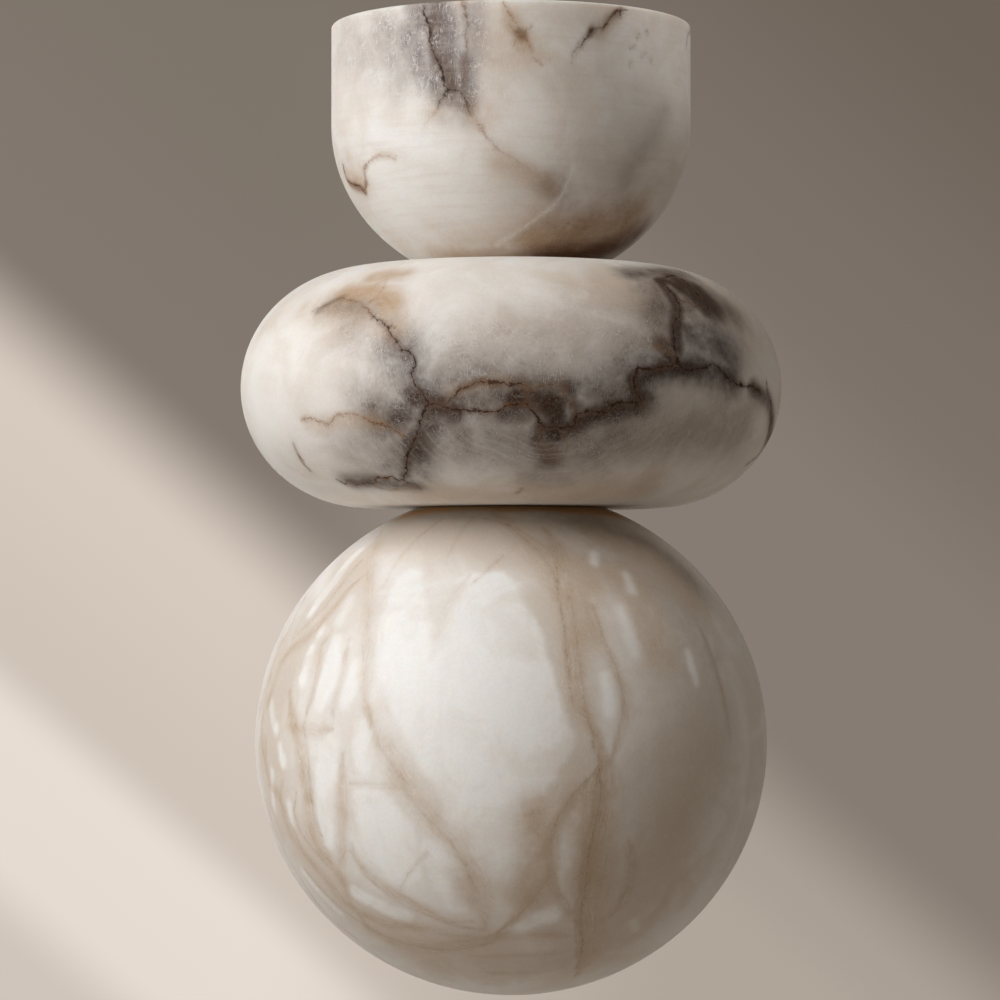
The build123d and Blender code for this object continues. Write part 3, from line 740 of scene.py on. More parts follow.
def dress(names, material):
    """Gives a finish to CAD nodes that keep their own shape."""
    for name in names:
        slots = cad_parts[name].material_slots
        for place in slots:
            place.material = material


dress(["top_cover", "suspension_coupler"], turned_metal("turned_brass", BRASS, BRASS_WORN, 0.3, RING_GRAIN))


# The disc: a thick flat-faced ring of the same stone with the boldest veins, turned hollow in one piece.
# It hangs on the carrier hub under it, and the bowl stands on its upper face.
disc_low, disc_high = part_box("disc")
DISC_FLAT_RADIUS = 0.0725
DISC_WALL = 0.014
DISC_HOLE_RADIUS = 0.025
DISC_COLUMNS = 480

disc_radius = disc_high.x
disc_middle = (disc_low.z + disc_high.z) / 2
disc_half = (disc_high.z - disc_low.z) / 2
disc_centre = (DISC_FLAT_RADIUS, disc_middle)
disc_across = disc_radius - DISC_FLAT_RADIUS
disc_roof = disc_high.z - DISC_WALL
disc_floor = disc_low.z + DISC_WALL
disc_section = (
    straight(COARSE_STEP, (DISC_HOLE_RADIUS, disc_low.z), (DISC_FLAT_RADIUS, disc_low.z))
    + oval(disc_centre, disc_across, disc_half, -90, 90, FINE_STEP)
    + straight(COARSE_STEP, (DISC_FLAT_RADIUS, disc_high.z), (DISC_HOLE_RADIUS, disc_high.z),
               (DISC_HOLE_RADIUS, disc_roof), (DISC_FLAT_RADIUS, disc_roof))
    + oval(disc_centre, disc_across - DISC_WALL, disc_half - DISC_WALL, 90, -90, COARSE_STEP)
    + straight(COARSE_STEP, (DISC_FLAT_RADIUS, disc_floor), (DISC_HOLE_RADIUS, disc_floor),
               (DISC_HOLE_RADIUS, disc_low.z))
)
disc = turned_stone("disc_stone", disc_section, DISC_COLUMNS)
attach(disc, "hanging_frame")
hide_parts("disc")

DISC_CRACKS = [
    (0.4, 0.6, 0.4, [(311, 312), (324, 306), (334, 301), (341, 297), (350, 300), (359, 303), (367, 308),
                     (373, 317)]),
    (0.8, 1.0, 0.1, [(373, 317), (383, 324), (391, 326), (387, 331), (393, 338), (402, 348), (409, 351)]),
    (1.0, 1.0, 0.03, [(409, 351), (415, 362), (412, 373), (417, 388), (426, 399), (430, 404)]),
    (0.3, 0.15, 0.8, [(350, 300), (367, 293), (380, 282), (396, 275)]),
    (1.0, 1.0, 0.05, [(430, 404), (422, 415), (421, 426), (415, 437), (408, 454), (407, 467), (403, 480)]),
    (0.7, 1.0, 0.2, [(337, 480), (344, 483), (350, 480), (357, 485), (367, 483), (374, 484), (378, 477),
                     (385, 479), (391, 476), (398, 481), (404, 480), (417, 487)]),
    (0.65, 0.6, 0.75, [(301, 421), (308, 417), (319, 421), (328, 425), (337, 415), (348, 413), (363, 417),
                       (371, 423)]),
    (0.9, 0.7, 0.4, [(371, 423), (383, 424), (391, 427), (404, 436)]),
    (0.4, 1.0, 0.45, [(294, 443), (297, 452), (301, 459)]),
    (1.0, 0.4, 0.45, [(301, 459), (304, 464), (311, 472)]),
    (0.35, 0.2, 0.8, [(366, 304), (376, 298), (386, 300), (394, 308)]),
    (0.3, 0.2, 0.8, [(378, 296), (384, 288), (386, 280)]),
    (0.4, 0.3, 0.7, [(375, 486), (390, 490), (404, 489), (417, 487)]),
    (0.9, 0.9, 0.15, [(430, 404), (443, 405), (452, 399), (461, 389), (472, 385), (483, 381), (498, 383),
                      (521, 385)]),
    (0.7, 0.4, 0.4, [(521, 385), (532, 388), (550, 385), (567, 386)]),
    (1.0, 1.0, 0.1, [(430, 404), (450, 408), (461, 410), (480, 411), (496, 412), (507, 405), (511, 404),
                     (525, 405), (534, 413), (540, 424), (546, 428), (559, 428), (573, 426)]),
    (1.0, 1.0, 0.1, [(573, 426), (576, 415), (586, 412), (603, 412), (613, 405), (624, 402), (642, 402)]),
    (0.4, 0.7, 0.4, [(567, 386), (563, 394), (571, 402), (575, 413)]),
    (0.5, 0.5, 0.4, [(521, 385), (529, 398), (536, 411)]),
    (0.8, 0.2, 0.4, [(542, 428), (540, 444), (546, 453), (550, 463)]),
    (0.6, 0.1, 0.5, [(563, 432), (567, 444), (565, 461)]),
    (1.0, 1.0, 0.1, [(642, 402), (634, 392), (634, 377), (638, 367), (647, 371), (663, 367), (672, 365),
                     (678, 363)]),
    (1.0, 0.9, 0.05, [(678, 363), (684, 369), (691, 370), (701, 369), (707, 365), (712, 363), (722, 371),
                      (730, 380), (743, 386), (754, 387), (761, 393)]),
    (0.8, 0.5, 0.2, [(766, 382), (768, 394), (771, 405), (770, 423), (767, 438), (760, 453), (751, 467)]),
    (1.0, 1.0, 0.05, [(678, 363), (675, 352), (674, 336), (674, 325), (679, 315), (679, 304), (673, 294),
                      (664, 283), (659, 279)]),
    (0.9, 1.0, 0.05, [(664, 277), (676, 276), (687, 283), (697, 294), (705, 303), (710, 315)]),
    (0.6, 0.5, 0.2, [(678, 299), (688, 302), (694, 307), (703, 306)]),
    (0.4, 0.4, 0.8, [(653, 344), (664, 350), (676, 356)]),
    (0.8, 0.3, 0.2, [(642, 402), (642, 413)]),
    (0.5, 0.4, 0.4, [(523, 488), (517, 494)]),
]
DISC_CLOUDS = [
    ("halo", 18, 0.8, [(394, 338), (408, 356), (416, 376), (426, 400)]),
    ("halo", 32, 0.7, [(400, 346), (410, 364), (414, 386), (424, 402)]),
    ("halo", 20, 0.75, [(504, 413), (528, 413)]),
    ("halo", 24, 0.35, [(530, 478), (562, 480)]),
    ("halo", 24, 0.5, [(332, 306), (360, 308), (392, 324)]),
    ("halo", 28, 0.8, [(376, 418), (400, 418), (424, 412)]),
    ("halo", 25, 1.0, [(418, 396), (432, 404), (450, 407)]),
    ("halo", 26, 0.9, [(428, 410), (424, 430), (416, 452)]),
    ("halo", 24, 0.6, [(426, 440), (422, 472)]),
    ("halo", 22, 0.75, [(632, 274), (654, 272), (684, 274)]),
    ("halo", 20, 0.8, [(542, 438), (550, 458)]),
    ("halo", 18, 0.9, [(566, 392), (574, 408)]),
    ("halo", 18, 1.0, [(662, 344), (672, 356)]),
    ("halo", 26, 0.6, [(430, 404), (470, 404), (520, 402)]),
    ("halo", 14, 0.8, [(424, 410), (412, 440), (405, 476)]),
    ("halo", 26, 0.6, [(418, 420), (404, 450), (396, 470)]),
    ("halo", 18, 0.8, [(352, 482), (376, 482), (412, 484)]),
    ("halo", 46, 0.68, [(440, 396), (500, 396), (560, 402), (610, 396), (650, 368)]),
    ("halo", 20, 0.72, [(446, 400), (480, 395), (502, 393)]),
    ("halo", 10, 0.88, [(460, 389), (480, 382), (500, 384)]),
    ("halo", 20, 1.0, [(516, 400), (530, 396), (560, 400)]),
    ("halo", 40, 0.5, [(470, 430), (520, 434), (600, 434)]),
    ("halo", 36, 0.62, [(658, 290), (664, 325), (666, 352)]),
    ("halo", 22, 0.95, [(540, 404), (558, 412), (556, 428)]),
    ("halo", 20, 0.9, [(545, 428), (556, 432), (572, 424), (600, 412), (640, 402)]),
    ("halo", 30, 0.6, [(575, 410), (610, 400), (636, 392)]),
    ("halo", 24, 0.9, [(642, 400), (635, 380), (645, 368), (690, 365), (732, 380)]),
    ("halo", 34, 0.7, [(640, 390), (654, 364), (690, 360), (724, 372)]),
    ("halo", 15, 1.0, [(677, 360), (675, 330), (678, 308), (662, 282)]),
    ("halo", 30, 0.7, [(676, 350), (680, 320), (690, 295)]),
    ("halo", 22, 1.0, [(668, 282), (686, 290), (706, 308)]),
    ("halo", 30, 0.6, [(700, 288), (730, 312)]),
    ("halo", 12, 0.8, [(752, 388), (768, 400), (768, 440)]),
    ("violet", 36, 0.5, [(360, 392), (405, 395)]),
    ("violet", 32, 0.5, [(352, 332), (376, 352), (400, 380)]),
    ("violet", 38, 0.6, [(354, 446), (395, 452)]),
    ("violet", 42, 0.6, [(620, 442), (680, 436), (740, 430)]),
    ("violet", 40, 0.6, [(440, 445), (520, 455), (600, 460)]),
    ("halo", 42, 0.8, [(694, 332), (724, 350)]),
    ("violet", 60, 0.45, [(450, 356), (500, 356), (560, 345), (620, 335)]),
    ("brown", 8, 0.7, [(640, 380), (660, 370), (700, 370)]),
    ("brown", 9, 0.7, [(546, 432), (556, 436), (566, 430)]),
    ("halo", 34, 1.0, [(676, 282), (694, 290), (708, 304)]),
    ("brown", 8, 0.5, [(690, 288), (704, 304)]),
    ("brown", 10, 0.6, [(515, 383), (545, 382), (568, 387)]),
    ("brown", 7, 0.5, [(318, 311), (330, 303), (342, 298)]),
    ("tan", 10, 0.4, [(450, 391), (500, 380), (560, 383)]),
    ("tan", 16, 0.3, [(640, 342), (662, 340)]),
    ("tan", 22, 0.85, [(345, 295), (372, 292), (390, 304)]),
    ("tan", 26, 0.55, [(328, 306), (360, 308), (396, 324)]),
    ("tan", 18, 0.75, [(374, 278), (402, 274)]),
    ("brown", 16, 0.34, [(340, 303), (372, 308)]),
    ("tan", 18, 0.4, [(308, 306), (335, 294)]),
    ("tan", 14, 0.5, [(308, 424), (350, 420), (376, 422)]),
    ("tan", 14, 0.35, [(548, 450), (556, 458)]),
    ("white", 30, 0.8, [(262, 420), (280, 470), (310, 494)]),
    ("beige", 36, 0.8, [(430, 494), (520, 494), (640, 488)]),
    ("beige", 44, 0.5, [(500, 330), (560, 325), (620, 320)]),
    ("beige", 60, 0.8, [(600, 285), (660, 300), (720, 300)]),
    ("beige", 30, 0.45, [(262, 330), (300, 300), (340, 340)]),
]
DISC_COPIES = [(165, -1)]
DISC_TONES = STONE_TONES | {"violet": (150, 136, 127), "halo": (58, 35, 19), "brown": (46, 28, 16)}
DISC_SWIRL = (17, -120, -172)
disc_layers = mark_veins(disc, DISC_CRACKS, DISC_CLOUDS, DISC_COPIES)
disc_alabaster = alabaster("disc_alabaster", DISC_TONES, *disc_layers, frost=0.15, swirl=DISC_SWIRL)
disc.data.materials.append(disc_alabaster)


# The ball: the whitest stone, a net of tan bands between milky cells, turned hollow and cut flat on top.
# Its bonded ring turns on the carrier hub's lugs, so it twists off for a change of its light.
ball_low, ball_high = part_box("ball")
BALL_SEAT_RADIUS = 0.0475
BALL_WALL = 0.014
BALL_MOUTH_RADIUS = 0.039
BALL_GROOVE_INSIDE = 0.041
BALL_GROOVE_OUTSIDE = 0.0455
BALL_LIP = 0.024
BALL_STEP = 0.0018
BALL_COLUMNS = 384
BALL_OFF_STEM = 4

ball_radius = ball_high.x
ball_seat_angle = math.acos(BALL_SEAT_RADIUS / ball_radius)
ball_half = (ball_high.z - ball_low.z) / (1 + math.sin(ball_seat_angle))
ball_centre = (0, ball_low.z + ball_half)
ball_roof = ball_high.z - BALL_LIP
ball_groove = ball_high.z - GASKET_GROOVE
ball_roof_angle = math.asin((ball_roof - ball_centre[1]) / (ball_half - BALL_WALL))
ball_roof_radius = (ball_radius - BALL_WALL) * math.cos(ball_roof_angle)
ball_section = (
    [(0, ball_low.z)]
    + oval(ball_centre, ball_radius, ball_half, -90, math.degrees(ball_seat_angle), BALL_STEP)[1:]
    + straight(COARSE_STEP, (BALL_SEAT_RADIUS, ball_high.z), (BALL_GROOVE_OUTSIDE, ball_high.z),
               (BALL_GROOVE_OUTSIDE, ball_groove), (BALL_GROOVE_INSIDE, ball_groove),
               (BALL_GROOVE_INSIDE, ball_high.z), (BALL_MOUTH_RADIUS, ball_high.z),
               (BALL_MOUTH_RADIUS, ball_roof), (ball_roof_radius, ball_roof))
    + oval(ball_centre, ball_radius - BALL_WALL, ball_half - BALL_WALL, math.degrees(ball_roof_angle), -90,
           COARSE_STEP)
    + [(0, ball_low.z + BALL_WALL)]
)
ball = turned_stone("ball_stone", ball_section, BALL_COLUMNS)
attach(ball, "lower_ball")
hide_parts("ball")

BALL_CRACKS = [
    (0.35, 0.3, 0.9, [(503, 524), (517, 536), (534, 550), (548, 569), (555, 589)]),
    (0.4, 0.4, 0.9, [(553, 557), (553, 577), (556, 603), (560, 629), (563, 655), (565, 681), (568, 703)]),
    (0.25, 0.3, 0.9, [(566, 590), (570, 620), (574, 650), (577, 680), (582, 710), (591, 744)]),
    (0.35, 0.4, 0.85, [(588, 740), (594, 758), (595, 776), (597, 792), (594, 811), (590, 829), (586, 847),
                       (583, 869), (581, 892), (577, 911), (577, 929), (579, 944), (576, 960), (569, 972)]),
    (0.3, 0.2, 0.9, [(424, 852), (414, 862), (403, 876), (396, 891)]),
    (0.3, 0.3, 0.9, [(262, 800), (271, 829), (283, 857), (297, 878), (314, 904), (331, 922), (352, 938),
                     (376, 957), (400, 972)]),
    (0.3, 0.3, 0.9, [(302, 596), (288, 624), (274, 651), (264, 682), (255, 715), (252, 741)]),
    (0.3, 0.3, 0.9, [(279, 780), (276, 800), (286, 821), (295, 843), (302, 857)]),
    (0.3, 0.3, 0.9, [(293, 792), (290, 812), (297, 833), (310, 850), (326, 867), (341, 886)]),
    (0.25, 0.2, 0.9, [(358, 560), (338, 584), (322, 606), (304, 624), (288, 640)]),
    (0.25, 0.25, 0.9, [(268, 672), (260, 706), (258, 738), (262, 768), (268, 792)]),
    (0.2, 0.3, 0.9, [(306, 700), (300, 724), (304, 752), (306, 786), (310, 816), (320, 842)]),
    (0.1, 0.3, 0.9, [(366, 716), (374, 742), (390, 768), (404, 794), (424, 820), (446, 842), (462, 866),
                     (472, 892)]),
    (0.25, 0.3, 0.9, [(346, 850), (362, 876), (388, 898), (420, 914), (452, 926), (480, 930)]),
    (0.3, 0.25, 0.9, [(300, 868), (318, 890), (342, 912), (372, 932), (410, 946), (450, 950), (490, 942)]),
    (0.3, 0.2, 0.9, [(584, 778), (568, 796), (554, 816), (546, 842), (548, 866), (556, 892), (570, 914)]),
    (0.25, 0.2, 0.9, [(545, 876), (532, 896), (514, 916), (492, 934)]),
    (0.25, 0.2, 0.9, [(588, 604), (600, 640), (614, 672), (620, 700), (614, 736), (604, 762)]),
    (0.2, 0.15, 0.9, [(696, 628), (708, 656), (718, 690), (724, 726)]),
    (0.2, 0.2, 0.9, [(620, 846), (626, 866), (622, 888), (610, 908), (596, 922)]),
    (0.3, 0.1, 0.9, [(440, 518), (416, 536), (392, 562), (378, 590)]),
    (0.25, 0.1, 0.9, [(470, 516), (452, 540), (440, 566)]),
    (0.3, 0.15, 0.9, [(500, 555), (484, 570), (466, 586)]),
    (0.25, 0.15, 0.9, [(480, 518), (512, 528), (540, 546), (560, 572)]),
    (0.3, 0.15, 2, [(505, 516), (540, 520), (570, 532), (596, 548)]),
]
# Bands are fibrous: the half width and strength, which side on the way down is sharp, and the points.
BALL_BANDS = [
    (8, 0.5, "neither", [(379, 529), (372, 543), (369, 557), (365, 572), (364, 589), (364, 610), (362, 627),
                         (363, 655), (360, 674), (360, 693), (362, 712), (368, 728)]),
    (6, 0.7, "neither", [(364, 572), (348, 586), (331, 607), (317, 624), (302, 639), (286, 650), (276, 665),
                         (271, 682), (264, 703), (257, 724)]),
    (4, 0.5, "neither", [(331, 627), (318, 645), (314, 672), (309, 693), (303, 715)]),
    (4, 0.5, "neither", [(345, 640), (341, 662), (336, 686), (330, 703), (328, 724)]),
    (10, 0.85, "neither", [(286, 690), (288, 720), (293, 735), (297, 750), (300, 778), (304, 797), (305, 814),
                           (310, 836), (317, 850), (328, 864), (340, 880)]),
    (8, 0.6, "neither", [(284, 726), (302, 729), (316, 731), (328, 729)]),
    (7, 0.35, "neither", [(466, 575), (446, 603), (438, 624), (434, 643), (427, 660)]),
    (14, 0.6, "neither", [(364, 708), (370, 726), (378, 745), (386, 757), (396, 774), (405, 790), (419, 809),
                          (434, 826), (448, 836), (458, 852), (469, 867), (476, 886), (481, 905), (481, 930)]),
    (8, 0.65, "neither", [(339, 752), (338, 770), (338, 797), (339, 817), (339, 836), (339, 850), (336, 864),
                          (338, 881), (343, 895), (350, 908)]),
    (4, 0.45, "neither", [(345, 783), (362, 784), (379, 786), (400, 788)]),
    (7, 0.8, "neither", [(262, 740), (262, 762), (266, 783), (276, 797), (279, 814), (286, 833), (297, 850),
                         (309, 864), (321, 878), (331, 891), (343, 904), (355, 912), (369, 919), (386, 926),
                         (403, 926), (426, 929), (446, 935), (465, 936)]),
    (6, 0.7, "neither", [(347, 843), (352, 857), (362, 871), (376, 883), (390, 893), (403, 900), (421, 909),
                         (434, 917), (452, 922), (469, 922)]),
    (11, 0.8, "neither", [(355, 914), (365, 928), (383, 938), (409, 945), (434, 948), (469, 943), (503, 933)]),
    (13, 0.6, "neither", [(488, 512), (510, 530), (530, 549), (544, 570), (552, 600)]),
    (13, 0.8, "neither", [(540, 528), (552, 545), (560, 577), (565, 603), (569, 629), (571, 655), (573, 681),
                          (577, 703), (586, 724), (596, 748)]),
    (7, 0.6, "neither", [(575, 590), (583, 603), (590, 631), (600, 648), (607, 660), (614, 677), (621, 695),
                         (621, 715), (614, 741), (606, 765)]),
    (5, 0.5, "neither", [(693, 624), (703, 646), (710, 665), (717, 689), (724, 720), (726, 744)]),
    (12, 1.0, "left", [(592, 735), (597, 758), (599, 776), (600, 792), (598, 811), (594, 829), (590, 847),
                       (587, 869), (585, 892), (581, 911), (581, 929), (583, 944), (580, 960), (572, 975)]),
    (6, 0.8, "neither", [(590, 772), (574, 794), (561, 808), (552, 822), (545, 838), (542, 854), (545, 870),
                         (540, 883), (531, 892), (519, 906), (510, 919), (490, 935)]),
    (6, 0.6, "neither", [(545, 870), (549, 888), (561, 906), (570, 919), (577, 924)]),
    (6, 0.6, "neither", [(624, 840), (631, 861), (629, 876), (622, 894), (615, 908), (606, 917)]),
    (7, 0.6, "neither", [(470, 938), (517, 936), (544, 935), (570, 936)]),
    (4, 0.5, "neither", [(465, 956), (510, 955), (560, 952)]),
    (4, 0.5, "neither", [(475, 972), (515, 973), (555, 969)]),
]
# Cells are milky: the pixels that each follows, with its half width there.
BALL_CELLS = [
    [(480, 598, 34), (482, 622, 46), (485, 669, 58), (490, 740, 74), (482, 812, 42), (494, 868, 14)],
    [(405, 580, 14), (398, 625, 27), (402, 665, 30), (425, 705, 36), (455, 745, 44)],
    [(354, 552, 8), (330, 582, 9), (306, 614, 6)],
    [(347, 600, 6), (336, 621, 7)],
    [(318, 628, 5), (316, 634, 5)],
    [(308, 648, 5), (299, 680, 8)],
    [(333, 642, 8), (326, 672, 13), (316, 704, 9)],
    [(352, 664, 6), (348, 684, 9), (341, 704, 6)],
    [(360, 728, 11), (359, 742, 14), (360, 762, 12)],
    [(325, 744, 11), (322, 775, 15), (320, 812, 12), (324, 842, 9)],
    [(366, 800, 20), (382, 835, 33), (396, 866, 22)],
    [(428, 850, 12), (442, 876, 19), (454, 904, 11)],
    [(352, 893, 8), (400, 915, 9)],
    [(335, 912, 6), (300, 873, 6)],
    [(270, 807, 4), (268, 772, 5)],
    [(285, 805, 4), (288, 823, 4)],
    [(276, 748, 5), (279, 762, 6)],
    [(267, 705, 5), (272, 728, 6)],
    [(590, 555, 4), (590, 562, 4)],
    [(624, 577, 5), (628, 590, 6)],
    [(617, 610, 5), (625, 634, 8), (632, 654, 5)],
    [(601, 676, 4), (603, 690, 6), (606, 712, 4)],
    [(684, 653, 3), (688, 668, 5), (692, 682, 3)],
    [(575, 800, 3), (566, 835, 8), (563, 880, 9), (562, 905, 5)],
    [(518, 926, 6), (548, 914, 11)],
]
BALL_CLOUDS = [
    ("beige", 50, 1.0, [(345, 570), (300, 630), (268, 740), (282, 820), (330, 890), (400, 935), (480, 950)]),
    # This beige cloud on the ball's right is partly the stone's beige and partly painted shade on the side
    # away from the key lamp.
    ("beige", 70, 0.95, [(640, 560), (680, 660), (690, 740), (660, 840), (590, 940)]),
    ("beige", 40, 0.8, [(545, 600), (556, 680), (572, 760), (568, 860), (550, 940)]),
    ("beige", 40, 0.9, [(440, 960), (500, 965), (560, 955)]),
    # This beige cloud along the ball's top is partly the stone's beige and partly painted shade under the
    # disc.
    ("beige", 42, 1.0, [(390, 536), (450, 540), (520, 554), (590, 570)]),
    ("tan", 26, 0.75, [(532, 810), (538, 850), (526, 895)]),
    ("tan", 24, 0.58, [(574, 562), (590, 596), (582, 632)]),
    # This white cloud is partly the milky stone and partly a painted highlight where the key lamp falls.
    ("white", 40, 0.5, [(450, 650), (480, 700)]),
    ("white", 16, 0.65, [(332, 556), (322, 572), (316, 590)]),
    ("white", 14, 0.4, [(356, 842), (364, 856)]),
    ("white", 34, 0.35, [(440, 722), (462, 738)]),
    ("tan", 16, 0.5, [(456, 876), (464, 900)]),
    ("white", 7, 0.6, [(617, 608), (625, 634), (632, 654)]),
    ("white", 6, 0.65, [(601, 678), (604, 694), (606, 712)]),
    ("white", 5, 0.6, [(684, 653), (688, 668), (692, 682)]),
    ("white", 6, 0.6, [(622, 575), (628, 590)]),
    ("white", 5, 0.6, [(590, 553), (590, 563)]),
    ("white", 5, 0.5, [(628, 922), (632, 930)]),
    ("tan", 50, 0.35, [(420, 958), (500, 972), (590, 956), (680, 890)]),
    ("tan", 22, 0.4, [(280, 640), (258, 740), (275, 830)]),
    ("tan", 30, 0.7, [(580, 806), (582, 880)]),
    ("tan", 34, 0.65, [(618, 574), (636, 604), (652, 640)]),
    # The next tan cloud and the two halo clouds on the ball's upper right are partly stain and partly painted
    # shade under the disc.
    ("tan", 34, 0.5, [(545, 530), (600, 540), (650, 562), (690, 600)]),
    ("halo", 30, 0.5, [(565, 522), (610, 530), (650, 548), (690, 585)]),
    ("halo", 44, 0.3, [(560, 545), (610, 565), (660, 600), (700, 650)]),
    # This brown cloud along the seat is painted light and shade: a warm amber glow painted into the shade
    # under the disc, as if lit through the stone.
    ("brown", 15, 1.0, [(405, 514), (440, 508), (500, 507), (560, 509), (610, 514)]),
]
BALL_COPIES = [(160, -1)]
BALL_TONES = STONE_TONES | {
    "beige": (214, 203, 191),
    "tan": (194, 171, 146),
    # On the ball, brown is only the painted amber glow in the shade at its seat.
    "brown": (226, 182, 128),
    "rust": (150, 112, 78),
}
ball_layers = mark_veins(ball, BALL_CRACKS, BALL_CLOUDS, BALL_COPIES, BALL_BANDS, BALL_CELLS, BALL_OFF_STEM)
ball.data.materials.append(alabaster("ball_alabaster", BALL_TONES, *ball_layers, frost=0))


# The stem, its nuts and washers, the clamp plate and the grub screw: cut and turned from steel, zinc plated.
# The stem runs through all three stones, and each nut pulls its washer up against a plate, a hub or a board.
ZINC = (168, 170, 172)
ZINC_BRIGHT = (206, 208, 210)
dress(["stem_tube", "stem_nuts", "stem_washers", "bowl_clamp_plate", "coupler_set_screw", "stop_pin"],
      turned_metal("zinc_plate", ZINC, ZINC_BRIGHT, 0.35, 0.6))


# The carrier hub and the ball's ring: the two halves of the twist lock, milled from steel and bead blasted.
# Three lugs on the hub hold three tabs in the ring, and the stop pin ends the turn.
BLASTED = (176, 177, 178)
BLASTED_LIGHT = (200, 201, 202)
dress(["carrier_hub", "ball_ring"], turned_metal("blasted_steel", BLASTED, BLASTED_LIGHT, 0.45, 1.2))


# The light columns: six-sided aluminium extrusions, anodised clear, slid over the stem between nuts.
# Each flat has a shallow channel that an LED strip is stuck in.
ANODISED = (190, 191, 192)
ANODISED_LIGHT = (214, 215, 216)


def drawn_metal(name, colour, light_colour):
    """Extruded metal: fine lines that run up and down."""
    finish = Finish(name)
    lines = finish.noise(1, 3, 0.6, where=finish.stretched((2.5, 2.5, 0.02), (0, 0, 0)))
    cast = finish.noise(14, 3)
    tone = finish.blend(finish.rise(cast, 0.35, 0.65), paint(*colour), paint(*light_colour))
    return finish.close(tone, finish.scaled(lines, 0.2, 0.3), lines, FINE_RELIEF, Metallic=1)


dress(["bowl_light_column", "disc_light_column", "ball_light_column"],
      drawn_metal("anodised_aluminium", ANODISED, ANODISED_LIGHT))


# The LED strips and the end board: white circuit boards with rows of yellow chips. The strips are stuck in the
# columns' channels. The end board closes the ball's column and its chips face down.
BOARD_FACE = 15.4
CHIP_HEIGHT = 0.7
CHIP_RISE = 0.05
BOARD_WHITE = (236, 236, 230)
BOARD_SHADE = (214, 214, 206)
CHIP_YELLOW = (232, 200, 92)
CHIP_EDGE = (238, 224, 150)


def led_board(name, above_board):
    """White solder mask with yellow chips wherever the surface stands above the board's face."""
    finish = Finish(name)
    weave = finish.noise(0.8, 2)
    board = finish.blend(finish.rise(finish.noise(5, 3), 0.35, 0.7), paint(*BOARD_WHITE), paint(*BOARD_SHADE))
    gel = finish.blend(finish.rise(weave, 0.3, 0.7), paint(*CHIP_YELLOW), paint(*CHIP_EDGE))
    chip = finish.rise(above_board(finish), 0.0, CHIP_RISE)
    return finish.close(finish.blend(chip, board, gel), finish.scaled(weave, 0.15, 0.32), weave, FINE_RELIEF)


def above_strip(finish):
    """How far, in mm, a place stands out of the strips' faces on the six flats."""
    outs = []
    for bearing in (30, 90, 150):
        way = (math.cos(math.radians(bearing)), math.sin(math.radians(bearing)), 0)
        outs.append(finish.math("ABSOLUTE", finish.measured("DOT_PRODUCT", finish.where, way)))
    furthest = finish.math("MAXIMUM", finish.math("MAXIMUM", outs[0], outs[1]), outs[2])
    return finish.math("SUBTRACT", furthest, BOARD_FACE + CHIP_RISE)


def below_end_board(finish):
    """How far, in mm, a place stands below the end board's face."""
    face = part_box("ball_end_board")[0].z * MM + CHIP_HEIGHT
    return finish.math("SUBTRACT", face - CHIP_RISE, finish.split(finish.where)[2])


dress(["bowl_led_strips", "disc_led_strips", "ball_led_strips"], led_board("strip_board", above_strip))
dress(["ball_end_board"], led_board("end_board", below_end_board))


# The gaskets, the bush and the terminal block: soft silicone rings cut from sheet, and moulded nylon.
# The gaskets keep metal off stone, and the bush centres the bowl and the disc on the stem.
SILICONE = (214, 212, 206)
SILICONE_SHADE = (190, 188, 182)
NYLON = (226, 222, 210)
NYLON_SHADE = (206, 200, 186)
MOULD_RELIEF = 0.00003


def moulded(name, colour, shade, roughness, grain):
    """A plain moulding with a fine grain and slight changes of tone."""
    finish = Finish(name)
    skin = finish.noise(grain, 3)
    tone = finish.blend(finish.rise(finish.noise(8, 3), 0.35, 0.7), paint(*colour), paint(*shade))
    return finish.close(tone, finish.scaled(skin, 0.2, roughness), skin, MOULD_RELIEF)


dress(["bowl_floor_gasket", "bowl_seat_gasket", "disc_support_gasket", "ball_seat_gasket"],
      moulded("silicone_sheet", SILICONE, SILICONE_SHADE, 0.5, 0.7))
dress(["centring_bush", "terminal_block"], moulded("moulded_nylon", NYLON, NYLON_SHADE, 0.35, 0.5))


# The studio: a plain pale floor under the hanging light, a large soft lamp on the left, weak ones on the right
# and low on the left, and a small spot on the right of the bowl's rim. The wall behind is painted light and
# shadow: painted shade, grey, above a slanting edge and painted light, cream, below it, soft on the right.
FLOOR_DROP = 0.8
FLOOR_RADIUS = 1.5
FLOOR_SIDES = 96
FLOOR_MOTTLE = 120
FLOOR_ROUGHNESS = 0.7
FLOOR_RELIEF = 0.0002
FLOOR_TONE = (204, 196, 186)
FLOOR_SHADE = (198, 190, 180)
SOFT_LAMPS = [
    ("key_lamp", (-1.54, -1.29, 1.06), 1.6, 53),
    ("edge_lamp", (1.9, 0.3, 1.0), 1.2, 4),
    ("low_lamp", (-1.7, -0.6, -1.1), 1.2, 5),
]
RIM_SPOT_PLACE = (1.1, -1.0, 0.7)
RIM_SPOT_AIM = (0.083, -0.041, -0.010)
RIM_SPOT_POWER = 26
RIM_SPOT_ANGLE = 4.8
RIM_SPOT_SIZE = 0.01
FILL_TONE = (244, 226, 206)
FILL_STRENGTH = 0.175
WALL_SLOPE = (0.857, 0, 1)
WALL_LOW = -0.21
WALL_HIGH = 0.27
WALL_LEFT = -0.07
WALL_RIGHT = 0.05
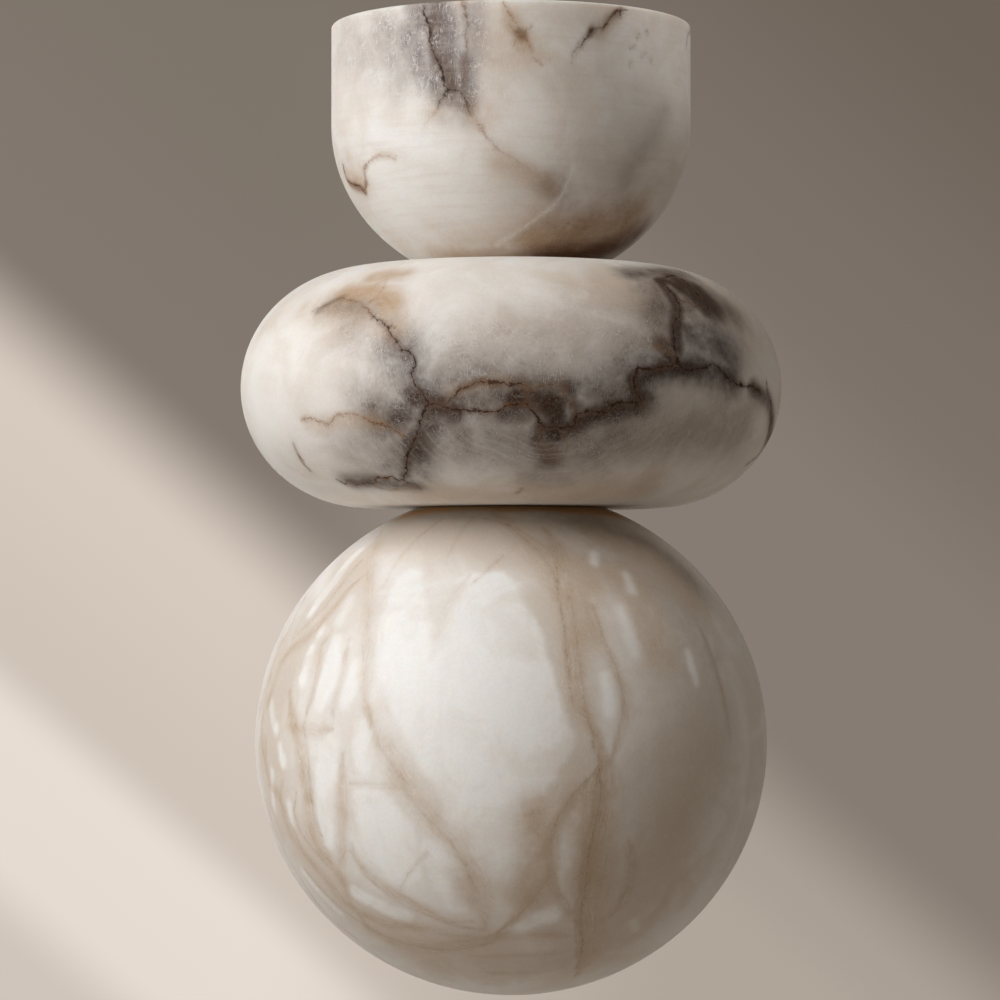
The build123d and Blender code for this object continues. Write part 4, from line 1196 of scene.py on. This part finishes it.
# The wall's stops are painted light and shadow: cream bars of painted light low on the left, painted shade
# grey above and to the right.
LEFT_WALL = [(-0.20, (207, 197, 186)), (-0.176, (229, 219, 209)), (-0.142, (231, 221, 211)),
             (-0.122, (207, 195, 184)), (-0.055, (215, 202, 191)), (-0.016, (130, 120, 111)),
             (0.09, (125, 116, 106)), (0.26, (109, 99, 90))]
RIGHT_WALL = [(-0.035, (176, 165, 153)), (-0.010, (170, 159, 148)), (0.030, (134, 124, 115)),
              (0.095, (134, 124, 115)), (0.155, (123, 113, 104)), (0.26, (109, 99, 89))]


def studio_floor():
    """A round floor with a soft mottle."""
    mesh = bpy.data.meshes.new("studio_floor")
    turns = [math.tau * i / FLOOR_SIDES for i in range(FLOOR_SIDES)]
    height = cad_box[0].z - FLOOR_DROP
    edge = [(FLOOR_RADIUS * math.cos(a), FLOOR_RADIUS * math.sin(a), height) for a in turns]
    mesh.from_pydata(edge, [], [list(range(FLOOR_SIDES))])
    floor = bpy.data.objects.new("studio_floor", mesh)
    bpy.context.collection.objects.link(floor)
    finish = Finish("floor_paint")
    mottle = finish.noise(FLOOR_MOTTLE, 4)
    tone = finish.blend(mottle, paint(*FLOOR_TONE), paint(*FLOOR_SHADE))
    mesh.materials.append(finish.close(tone, FLOOR_ROUGHNESS, mottle, FLOOR_RELIEF))
    return floor


studio_floor()


def hang_lamp(lamp_data, place, aim):
    """Puts a lamp in its place, facing what it lights."""
    lamp = bpy.data.objects.new(lamp_data.name, lamp_data)
    lamp.location = place
    lamp.rotation_euler = (Vector(aim) - Vector(place)).to_track_quat("-Z", "Y").to_euler()
    bpy.context.collection.objects.link(lamp)


for name, place, size, power in SOFT_LAMPS:
    lamp_data = bpy.data.lights.new(name, "AREA")
    lamp_data.size = size
    lamp_data.energy = power
    hang_lamp(lamp_data, place, (cad_box[0] + cad_box[1]) / 2)

spot_data = bpy.data.lights.new("rim_spot", "SPOT")
spot_data.energy = RIM_SPOT_POWER
spot_data.spot_size = math.radians(RIM_SPOT_ANGLE)
spot_data.spot_blend = 1
spot_data.shadow_soft_size = RIM_SPOT_SIZE
hang_lamp(spot_data, RIM_SPOT_PLACE, RIM_SPOT_AIM)

world = bpy.data.worlds.new("studio")
bpy.context.scene.world = world
world.use_nodes = True
wall = Shading(world.node_tree)
direction = wall.add("ShaderNodeTexCoord", {}, "Generated")
slope = wall.measured("DOT_PRODUCT", direction, WALL_SLOPE)
climb = wall.add("ShaderNodeMapRange", {"Value": slope, "From Min": WALL_LOW, "From Max": WALL_HIGH})


def painted_wall_light(tones):
    """The wall's painted light and shadow by how far up the slope it is."""
    tone = wall.add("ShaderNodeValToRGB", {0: climb})
    tone.node.color_ramp.interpolation = "EASE"
    stops = tone.node.color_ramp.elements
    while len(stops) < len(tones):
        stops.new(1)
    for stop, (height, colour) in zip(stops, tones):
        stop.position = (height - WALL_LOW) / (WALL_HIGH - WALL_LOW)
        stop.color = paint(*colour)
    return tone


rightward = wall.rise(wall.split(direction)[0], WALL_LEFT, WALL_RIGHT)
wall_light_and_shadow = wall.blend(rightward, painted_wall_light(LEFT_WALL), painted_wall_light(RIGHT_WALL))
seen = wall.add("ShaderNodeBackground", {"Color": wall_light_and_shadow})
fill = wall.add("ShaderNodeBackground", {"Color": paint(*FILL_TONE), "Strength": FILL_STRENGTH})
rays = wall.add("ShaderNodeLightPath", {}).node.outputs
shown = wall.math("MAXIMUM", rays["Is Camera Ray"], rays["Is Glossy Ray"])
shown = wall.math("MAXIMUM", shown, rays["Is Transmission Ray"])
wall.end("ShaderNodeOutputWorld", wall.add("ShaderNodeMixShader", {0: shown, 1: fill, 2: seen}))
bpy.context.scene.view_settings.view_transform = "Standard"
